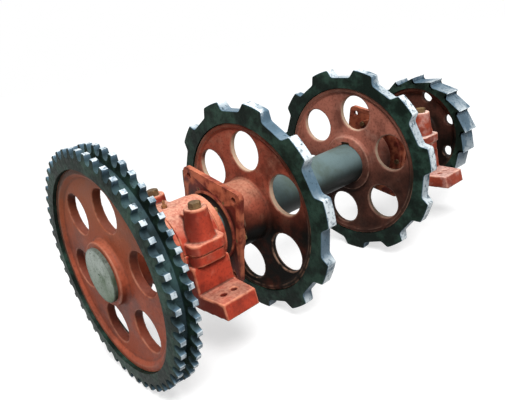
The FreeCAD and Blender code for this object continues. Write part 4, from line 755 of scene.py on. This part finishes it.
def tooth_rows(points, feet, width_at, corner, y_mid, floor_land, tip_land, rise=1):
    """Rows over one row of teeth, from its -Y side to its +Y side. The sides start at the feet."""
    half = [width_at(p.length) / 2 for p in points]
    lowest, highest = min(p.length for p in points), max(p.length for p in points)
    shares = [(p.length - lowest) / (highest - lowest) for p in points]
    lands = [floor_land + (tip_land - floor_land) * share ** rise for share in shares]
    steps = [(corner + FLAT_MARGIN, 0.0, 0.0)]
    for degrees in CORNER_STEPS:
        a = math.radians(degrees)
        steps.append((corner * (1 - math.sin(a)), corner * (1 - math.cos(a)), degrees / 90))
    steps.append((0.0, corner + FLAT_MARGIN, 1.0))
    rows = []
    for side in (-1, 1):
        side_rows = [(feet, [y_mid + side * width_at(p.length) / 2 for p in feet], [0.0] * len(feet))]
        for depth, inset, rub in steps:
            side_rows.append((offset_outline(points, depth), [y_mid + side * (h - inset) for h in half],
                              [rub * land for land in lands]))
        rows += side_rows if side < 0 else side_rows[::-1]
    return rows


print("rounded corners in", len(CORNER_STEPS) - 1, "steps")

# %% [markdown]
# The rows become the mesh of one sector, closed across the bore, and the tree repeats it. The tree's
# inputs are set on its modifier by the identifiers of their sockets, not by their names. Edges are shaded
# sharp only where two faces meet at a wide angle.

# %% A ring from its sector
TOOTH_SHARP = 42


def circle_row(points, radius, y, rub=0.0):
    """A row of points on a circle, at the angles of the given points."""
    return [p.normalized() * radius for p in points], [y] * len(points), [rub] * len(points)


def sector(name, rows):
    """A mesh of one sector from rows of points. The last row meets the first across the bore."""
    mesh = bpy.data.meshes.new(name)
    columns = len(rows[0][0])
    points, lands, faces = [], [], []
    for flat, along, rub in rows:
        points += [(p.x, y, p.y) for p, y in zip(flat, along)]
        lands += rub
    for r in range(len(rows)):
        this, following = r * columns, (r + 1) % len(rows) * columns
        for c in range(columns - 1):
            faces.append((this + c, this + c + 1, following + c + 1, following + c))
    mesh.from_pydata(points, [], faces)
    mesh.attributes.new("land", "FLOAT", "POINT").data.foreach_set("value", lands)
    return new_object(name, mesh)


def run_tree(piece, tree, sharp, **values):
    """Runs a Geometry Nodes tree on a piece, with the given inputs."""
    modifier = piece.modifiers.new(tree.name, "NODES")
    modifier.node_group = tree
    for item in tree.interface.items_tree:
        if item.in_out == "INPUT" and item.name in values:
            modifier[item.identifier] = values[item.name]
    settle(piece, sharp)


def toothed_ring(node, rays, bore, half_width, rows, teeth, phase):
    """Closes rows of teeth with the bore, repeats them round the shaft, and stands the ring for a node."""
    closed = [circle_row(rays, bore, -half_width)] + rows + [circle_row(rays, bore, half_width)]
    piece = sector(node + "_teeth", closed)
    low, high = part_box(node)
    run_tree(piece, ring, TOOTH_SHARP, Teeth=teeth, Phase=math.radians(phase),
             Place=(0.0, (low.y + high.y) / 2, axis_height), Material=finish["toothed_steel"])
    stand_for(piece, node)


print("teeth are sharp above", TOOTH_SHARP, "degrees")

# %% [markdown]
# Both kinds of chain tooth follow one rule: a gap with a round seat or a flat floor with round corners,
# flanks that lean back, and a land on the tip circle. One function draws half a tooth for either, from the
# middle of its land to the middle of the next gap, and a mirror gives the other half.

# %% Outline of a chain tooth
LAND_STEPS = 3


def arc(centre, radius, start, stop, count):
    """Points on an arc, with angles in degrees from +X towards +Z."""
    angles = [math.radians(start + (stop - start) * i / count) for i in range(count + 1)]
    return [Vector((centre[0] + radius * math.cos(a), centre[1] + radius * math.sin(a))) for a in angles]


def turned_point(point, degrees):
    """A point of an outline turned about the shaft, from +Z towards +X."""
    c, s = math.cos(math.radians(degrees)), math.sin(math.radians(degrees))
    return Vector((point.x * c + point.y * s, point.y * c - point.x * s))


def chain_tooth(teeth, root, tip, flat, seat, lean, tip_round, seat_steps):
    """A whole tooth between two gaps. flat is half the floor of a gap, seat the radius of its corners."""
    half_pitch = 180 / teeth
    floor = [Vector((-flat * share, root)) for share in (0.0, 0.5)] if flat else []
    corner = arc((-flat, root + seat), seat, 270, 180 + lean, seat_steps)
    along = Vector((-math.sin(math.radians(lean)), math.cos(math.radians(lean))))
    foot = corner[-1]
    reach = math.sqrt(foot.dot(along) ** 2 - foot.length_squared + tip ** 2) - foot.dot(along)
    peak = foot + along * reach
    flank = [foot.lerp(peak, 0.5), peak - along * tip_round]
    land_start = math.degrees(math.atan2(peak.y, peak.x) + tip_round / tip)
    land = arc((0, 0), tip, land_start, 90 + half_pitch, LAND_STEPS)
    nose = (flank[-1] + peak * 2 + land[0]) / 4
    half = [turned_point(p, half_pitch) for p in floor + corner + flank + [nose] + land][::-1]
    return [Vector((-p.x, p.y)) for p in half[:0:-1]] + half


def narrowing(width, tip_width, start, tip):
    """A rule for the width of a tooth, which narrows evenly from a start radius to its tip."""
    def width_at(radius):
        share = min(max((radius - start) / (tip - start), 0.0), 1.0)
        return width + (tip_width - width) * share
    return width_at


print("lands in", LAND_STEPS, "steps on each half")

# %% [markdown]
# The chain wheels carry a bucket chain with a long pitch, so their gaps are wide and flat-floored, and the
# teeth between them are short blocks. The far wheel's lands are a little brighter than the near one's.

# %% Chain wheel teeth
WHEEL_TEETH = 11
WHEEL_PHASE = 0.4
WHEEL_TIP = 266 * MM
WHEEL_ROOT = 243 * MM
WHEEL_FOOT = 237 * MM
WHEEL_BORE = 215 * MM
WHEEL_WIDTH = 30 * MM
WHEEL_TIP_WIDTH = 26 * MM
WHEEL_CORNER = 1.8 * MM
NARROWS_FROM = 251 * MM
GAP_HALF = 31 * MM
GAP_ROUND = 11 * MM
FLANK_LEAN = 37.0
WHEEL_LANDS = {"drive_side": (0.6, 0.86), "ratchet_side": (0.76, 0.88)}
gap_flat = GAP_HALF - GAP_ROUND * math.tan(math.radians((90 - FLANK_LEAN) / 2))
block_tooth = chain_tooth(WHEEL_TEETH, WHEEL_ROOT, WHEEL_TIP, flat=gap_flat, seat=GAP_ROUND, lean=FLANK_LEAN,
                          tip_round=3 * MM, seat_steps=6)
block_width = narrowing(WHEEL_WIDTH, WHEEL_TIP_WIDTH, NARROWS_FROM, WHEEL_TIP)
block_feet = [p.normalized() * WHEEL_FOOT for p in block_tooth]
for side, lands in WHEEL_LANDS.items():
    wheel_rows = tooth_rows(block_tooth, block_feet, block_width, WHEEL_CORNER, 0.0, *lands)
    toothed_ring(side + "_chain_rim", block_tooth, WHEEL_BORE, WHEEL_WIDTH / 2, wheel_rows, WHEEL_TEETH,
                 WHEEL_PHASE + 180 / WHEEL_TEETH)

# %% [markdown]
# The drive sprocket takes a two-row roller chain. Its two rows of small teeth stand in step, with a deep
# groove between them where the middle plates of the chain run. The rows of mesh points go over the first
# row of teeth, down into the groove and over the second.

# %% Drive sprocket teeth
DRIVE_TEETH = 50
DRIVE_PHASE = 7.0
DRIVE_PITCH = 31.75 * MM
DRIVE_ROLLER = 19.05 * MM
DRIVE_BORE = 221 * MM
DRIVE_WIDTH = 17.2 * MM
DRIVE_TIP_WIDTH = 12.4 * MM
DRIVE_CORNER = 0.9 * MM
DRIVE_LEAN = 9.0
DRIVE_LANDS = (0.22, 0.8, 4)
TIP_RISE = 8.4 * MM
NARROWS_BELOW, FEET_BELOW = 3 * MM, 3.2 * MM
GROOVE_DEPTH = 10.5 * MM
# The groove floor is a little bright too, a painted highlight.
GROOVE_LAND = 0.2
ROW_PITCH = 35.76 * MM
pitch_radius = DRIVE_PITCH / math.sin(math.pi / DRIVE_TEETH) / 2
drive_root = pitch_radius - DRIVE_ROLLER / 2
drive_tip = pitch_radius + TIP_RISE
roller_tooth = chain_tooth(DRIVE_TEETH, drive_root, drive_tip, flat=0.0, seat=DRIVE_ROLLER / 2,
                           lean=DRIVE_LEAN, tip_round=0.8 * MM, seat_steps=5)
roller_width = narrowing(DRIVE_WIDTH, DRIVE_TIP_WIDTH, drive_root - NARROWS_BELOW, drive_tip)
roller_feet = [p.normalized() * (drive_root - FEET_BELOW) for p in roller_tooth]
near_row, far_row = [
    tooth_rows(roller_tooth, roller_feet, roller_width, DRIVE_CORNER, y_mid, *DRIVE_LANDS)
    for y_mid in (-ROW_PITCH / 2, ROW_PITCH / 2)]
groove_side = (ROW_PITCH - DRIVE_WIDTH) / 2
groove_rows = [circle_row(roller_tooth, drive_root - GROOVE_DEPTH, y, GROOVE_LAND)
               for y in (-groove_side, groove_side)]
toothed_ring("drive_sprocket_rim", roller_tooth, DRIVE_BORE, (ROW_PITCH + DRIVE_WIDTH) / 2,
             near_row + groove_rows + far_row, DRIVE_TEETH, DRIVE_PHASE + 180 / DRIVE_TEETH)

# %% [markdown]
# The ratchet wheel stops the buckets from running back. Each tooth has a steep face that the pawl catches
# and a long back that lets it slide over. The outline goes from tip to tip, down the face and up the back,
# so it isn't mirrored. The feet of its columns are spaced evenly, because the face leans under and they
# would cross.

# %% Ratchet teeth
RATCHET_TEETH = 17
RATCHET_PHASE = 1.2
RATCHET_TIP = 175 * MM
RATCHET_ROOT = 160 * MM
RATCHET_FOOT = 155 * MM
RATCHET_BORE = 144 * MM
RATCHET_WIDTH = 66 * MM
RATCHET_CORNER = 1.0 * MM
RATCHET_UNDERCUT = 5.0
RATCHET_LANDS = (0.6, 0.78)
FACE_SHARES, BACK_SHARES = (0.1, 0.5, 0.9), (0.025, 0.3, 0.65, 0.97)
FEET_START = -2.0
saw_pitch = 360 / RATCHET_TEETH
saw_tip = Vector((0.0, RATCHET_TIP))
saw_under = (RATCHET_ROOT - RATCHET_TIP) * math.tan(math.radians(RATCHET_UNDERCUT))
saw_root = Vector((saw_under, RATCHET_ROOT))
saw_next = turned_point(saw_tip, saw_pitch)
saw_tooth = [saw_tip] + [saw_tip.lerp(saw_root, share) for share in FACE_SHARES]
saw_tooth += [saw_root.lerp(saw_next, share) for share in BACK_SHARES] + [saw_next]
saw_last = len(saw_tooth) - 1
saw_start = turned_point(saw_tip, FEET_START).normalized()
saw_rays = [turned_point(saw_start, saw_pitch * i / saw_last) for i in range(saw_last + 1)]
saw_rows = tooth_rows(saw_tooth, [ray * RATCHET_FOOT for ray in saw_rays], lambda radius: RATCHET_WIDTH,
                      RATCHET_CORNER, 0.0, *RATCHET_LANDS)
toothed_ring("ratchet_rim", saw_rays, RATCHET_BORE, RATCHET_WIDTH / 2, saw_rows, RATCHET_TEETH,
             RATCHET_PHASE)

# %% [markdown]
# Hexagon screws hold the caps, the covers and the gland rings. The head of a real one is turned to a cone,
# which makes the curved line on each flat. So the mesh is drawn as one profile at many angles, and the
# flats set how far out it goes.

# %% One hexagon screw
SCREW_STEPS = 48
SIXTH = math.pi / 3
HEAD_TOP = 0.475
HEAD_SLOPE = 0.55


def hexagon_screw(name, dia, flats, head, length):
    """A screw about its own Z axis, with its head above z = 0. The chamfer is cut by a cone."""
    shank, top = dia / 2, flats * HEAD_TOP
    columns = []
    for i in range(SCREW_STEPS):
        a = 2 * math.pi * i / SCREW_STEPS
        off = (a + SIXTH / 2) % SIXTH - SIXTH / 2
        out = flats / 2 / math.cos(off)
        shoulder = head - (out - top) * HEAD_SLOPE
        profile = ((shank, -length), (shank, 0.0), (out, 0.0), (out, shoulder), (top, head))
        columns.append([(radius * math.cos(a), radius * math.sin(a), z) for radius, z in profile])
    rows = list(zip(*columns))
    faces = [tuple(range(SCREW_STEPS))[::-1]]
    for r in range(len(rows) - 1):
        this, following = r * SCREW_STEPS, (r + 1) * SCREW_STEPS
        for i in range(SCREW_STEPS):
            j = (i + 1) % SCREW_STEPS
            faces.append((this + i, this + j, following + j, following + i))
    faces.append(tuple((len(rows) - 1) * SCREW_STEPS + i for i in range(SCREW_STEPS)))
    mesh = bpy.data.meshes.new(name)
    mesh.from_pydata([point for row in rows for point in row], [], faces)
    return bpy.data.objects.new(name, mesh)


cap_bolt = hexagon_screw("cap_bolt", dia=16 * MM, flats=24 * MM, head=10 * MM, length=128 * MM)
cover_screw = hexagon_screw("cover_screw", dia=8 * MM, flats=13 * MM, head=5.3 * MM, length=30 * MM)
gland_screw = hexagon_screw("gland_screw", dia=8 * MM, flats=13 * MM, head=5.3 * MM, length=19.9 * MM)
print("screws", [screw.name for screw in (cap_bolt, cover_screw, gland_screw)])

# %% [markdown]
# A Geometry Nodes tree puts a copy of a screw on every spot of a node. The spots are a small mesh of loose
# points, and the way each screw points is stored on them, so that one tree serves all.

# %% A tree that repeats a screw
SCREW_SHARP = 25
screws, taken, given = new_group(
    "screws_on_spots", {"Geometry": SHAPE, "Screw": "NodeSocketObject", "Material": MATERIAL},
    ["Geometry"], GEOMETRY_TREE, SHAPE)
screw_shape = add(screws, "GeometryNodeObjectInfo", Object=taken["Screw"]).outputs["Geometry"]
turns = add(screws, "GeometryNodeInputNamedAttribute", {"data_type": "FLOAT_VECTOR"}, Name="turn").outputs[0]
copies = add(screws, "GeometryNodeInstanceOnPoints", Points=taken["Geometry"], Instance=screw_shape,
             Rotation=turns)
connect(screws, given, Geometry=realized(screws, copies, taken["Material"]))


def screws_on(node, screw, spots):
    """Puts a screw on each (place, turn) and stands them in the place of a CAD node."""
    mesh = bpy.data.meshes.new(node + "_hexagon")
    mesh.from_pydata([place for place, turn in spots], [], [])
    stored = mesh.attributes.new("turn", "FLOAT_VECTOR", "POINT")
    stored.data.foreach_set("vector", [value for place, turn in spots for value in turn])
    piece = new_object(node + "_hexagon", mesh)
    run_tree(piece, screws, SCREW_SHARP, Screw=screw, Material=finish["fastener_steel"])
    stand_for(piece, node)


print("tree", screws.name, "inputs", [s.name for s in taken if s.name])

# %% [markdown]
# The cap bolts stand on the bosses of the blocks, each turned a little differently, as a spanner leaves
# them. The screws of covers and gland rings lie on circles about the shaft, with their heads outwards.
# Spring washers and set screws are small, and a broken edge on a copy of the solid is all they need.

# %% Screws in their places
BLOCK_PLACES = (0.0, 831 * MM)
BOSS_OFFSET = 83 * MM
BOLT_SEAT = 94 * MM
BOLT_TURNS = (12, 41, 25, 3)
COVER_CIRCLE = 154 * MM
COVER_FACE = 64.1 * MM
GLAND_CIRCLE = 178 * MM
GLAND_GAP = 0.1 * MM
GLAND_TURN = -13


def screw_circle(dia, y, way, count, start):
    """Spots on a circle round the shaft. way is the direction of the heads along the shaft."""
    spots = []
    for i in range(count):
        a = math.radians(start + 360 * i / count)
        place = (dia / 2 * math.cos(a), y, axis_height + dia / 2 * math.sin(a))
        spots.append((place, (math.radians(-90 * way), 0.0, 0.0)))
    return spots


bolt_places = [(x, y, axis_height + BOLT_SEAT) for y in BLOCK_PLACES for x in (-BOSS_OFFSET, BOSS_OFFSET)]
bolt_turns = [(0.0, 0.0, math.radians(degrees)) for degrees in BOLT_TURNS]
screws_on("block_cap_bolts", cap_bolt, list(zip(bolt_places, bolt_turns)))
cover_spots = []
for y in BLOCK_PLACES:
    for way in (-1, 1):
        cover_spots += screw_circle(COVER_CIRCLE, y + way * COVER_FACE, way, count=4, start=45)
screws_on("cover_screws", cover_screw, cover_spots)
for side, way in zip(SIDES, (1, -1)):
    low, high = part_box(side + "_seal_gland")
    face = (high.y if way > 0 else low.y) + way * GLAND_GAP
    gland_spots = screw_circle(GLAND_CIRCLE, face, way, count=6, start=GLAND_TURN)
    screws_on(side + "_gland_screws", gland_screw, gland_spots)
for node in ("block_cap_washers", "wheel_set_screws"):
    edged(node, width=0.4 * MM)

# %% [markdown]
# The background is plain white. More light would make it white too, but would wash out the paint. So the
# world shows white to the camera and in reflections, and lights the pieces at a lower level, at which a
# colour looks as it is written. Light Path tells the two apart.

# %% Background
WHITE = (1.0, 1.0, 1.0, 1.0)
WORLD_LEVEL = 0.22


def seen_directly(tree):
    """1 for what the camera sees, also in a mirror or through glass, and 0 for light on the pieces."""
    path = tree.nodes.new("ShaderNodeLightPath").outputs
    mirrored = maths(tree, "MAXIMUM", path["Is Glossy Ray"], path["Is Transmission Ray"])
    return maths(tree, "MAXIMUM", path["Is Camera Ray"], mirrored)


scene.world = bpy.data.worlds.new("studio")
scene.world.use_nodes = True
sky = scene.world.node_tree
sky_level = spread(sky, seen_directly(sky), 0.0, 1.0, WORLD_LEVEL, 1.0)
connect(sky, sky.nodes["Background"].inputs, Color=WHITE, Strength=sky_level)
print("world", scene.world.name, "lights at", WORLD_LEVEL)

# %% [markdown]
# The floor is white in the same way. It glows a little less near the part, where its own colour carries
# the shadow, and it throws little light back up, so that the undersides stay dark.

# %% Floor
FLOOR_REACH = 8.0
FLOOR_DROP = 0.5 * MM
FLOOR_GREY, FLOOR_BOUNCE = 0.5, 0.12
GLOW_REACH, GLOW_LEVELS = (1.2, 3.5), (0.62, 0.95)
floor_height = cad_low.z - FLOOR_DROP
floor_mesh = bpy.data.meshes.new("floor")
corners = [(x * FLOOR_REACH, y * FLOOR_REACH, floor_height) for x, y in ((-1, -1), (1, -1), (1, 1), (-1, 1))]
floor_mesh.from_pydata(corners, [], [(0, 1, 2, 3)])
floor = new_object("floor", floor_mesh)
floor_material, floor_tree, floor_shader, floor_at = new_material("floor")
floor_seen = seen_directly(floor_tree)
away = add(floor_tree, "ShaderNodeVectorMath", {"operation": "LENGTH"}, _0=floor_at["Object"])
level = spread(floor_tree, away.outputs["Value"], *GLOW_REACH, *GLOW_LEVELS)
connect(floor_tree, floor_shader, Roughness=0.9, Specular_IOR_Level=0.0,
        Base_Color=spread(floor_tree, floor_seen, 0.0, 1.0, FLOOR_BOUNCE, FLOOR_GREY),
        Emission_Color=WHITE, Emission_Strength=times(floor_tree, floor_seen, level))
floor_mesh.materials.append(floor_material)
print("floor at z =", round(floor_height, 4))

# %% [markdown]
# Four soft lamps light the part. The key stands high behind the camera, a little to its right, and makes
# the shapes round. A weak fill lights the face of the sprocket, a wide lamp hangs over the shaft, and one
# behind the ratchet wheel lifts the far pieces from the floor. Large lamps give the soft edges of
# daylight.

# %% Lamps
LAMP_AIM = Vector((0.0, 0.35, axis_height))
LAMPS = {  # place, width in metres, watts
    "key": ((1.55, -0.75, 2.2), 1.0, 94),
    "fill": ((0.2, -2.7, 0.4), 0.8, 12),
    "top": ((-0.1, 0.7, 2.1), 1.2, 26),
    "back": ((0.9, 3.0, 1.2), 1.6, 12),
}
for name, (place, width, watts) in LAMPS.items():
    lamp_data = bpy.data.lights.new(name, "AREA")
    lamp_data.size = width
    lamp_data.energy = watts
    lamp = new_object(name, lamp_data)
    lamp.location = place
    lamp.rotation_euler = (LAMP_AIM - Vector(place)).to_track_quat("-Z", "Y").to_euler()
print("lamps", sorted(LAMPS))
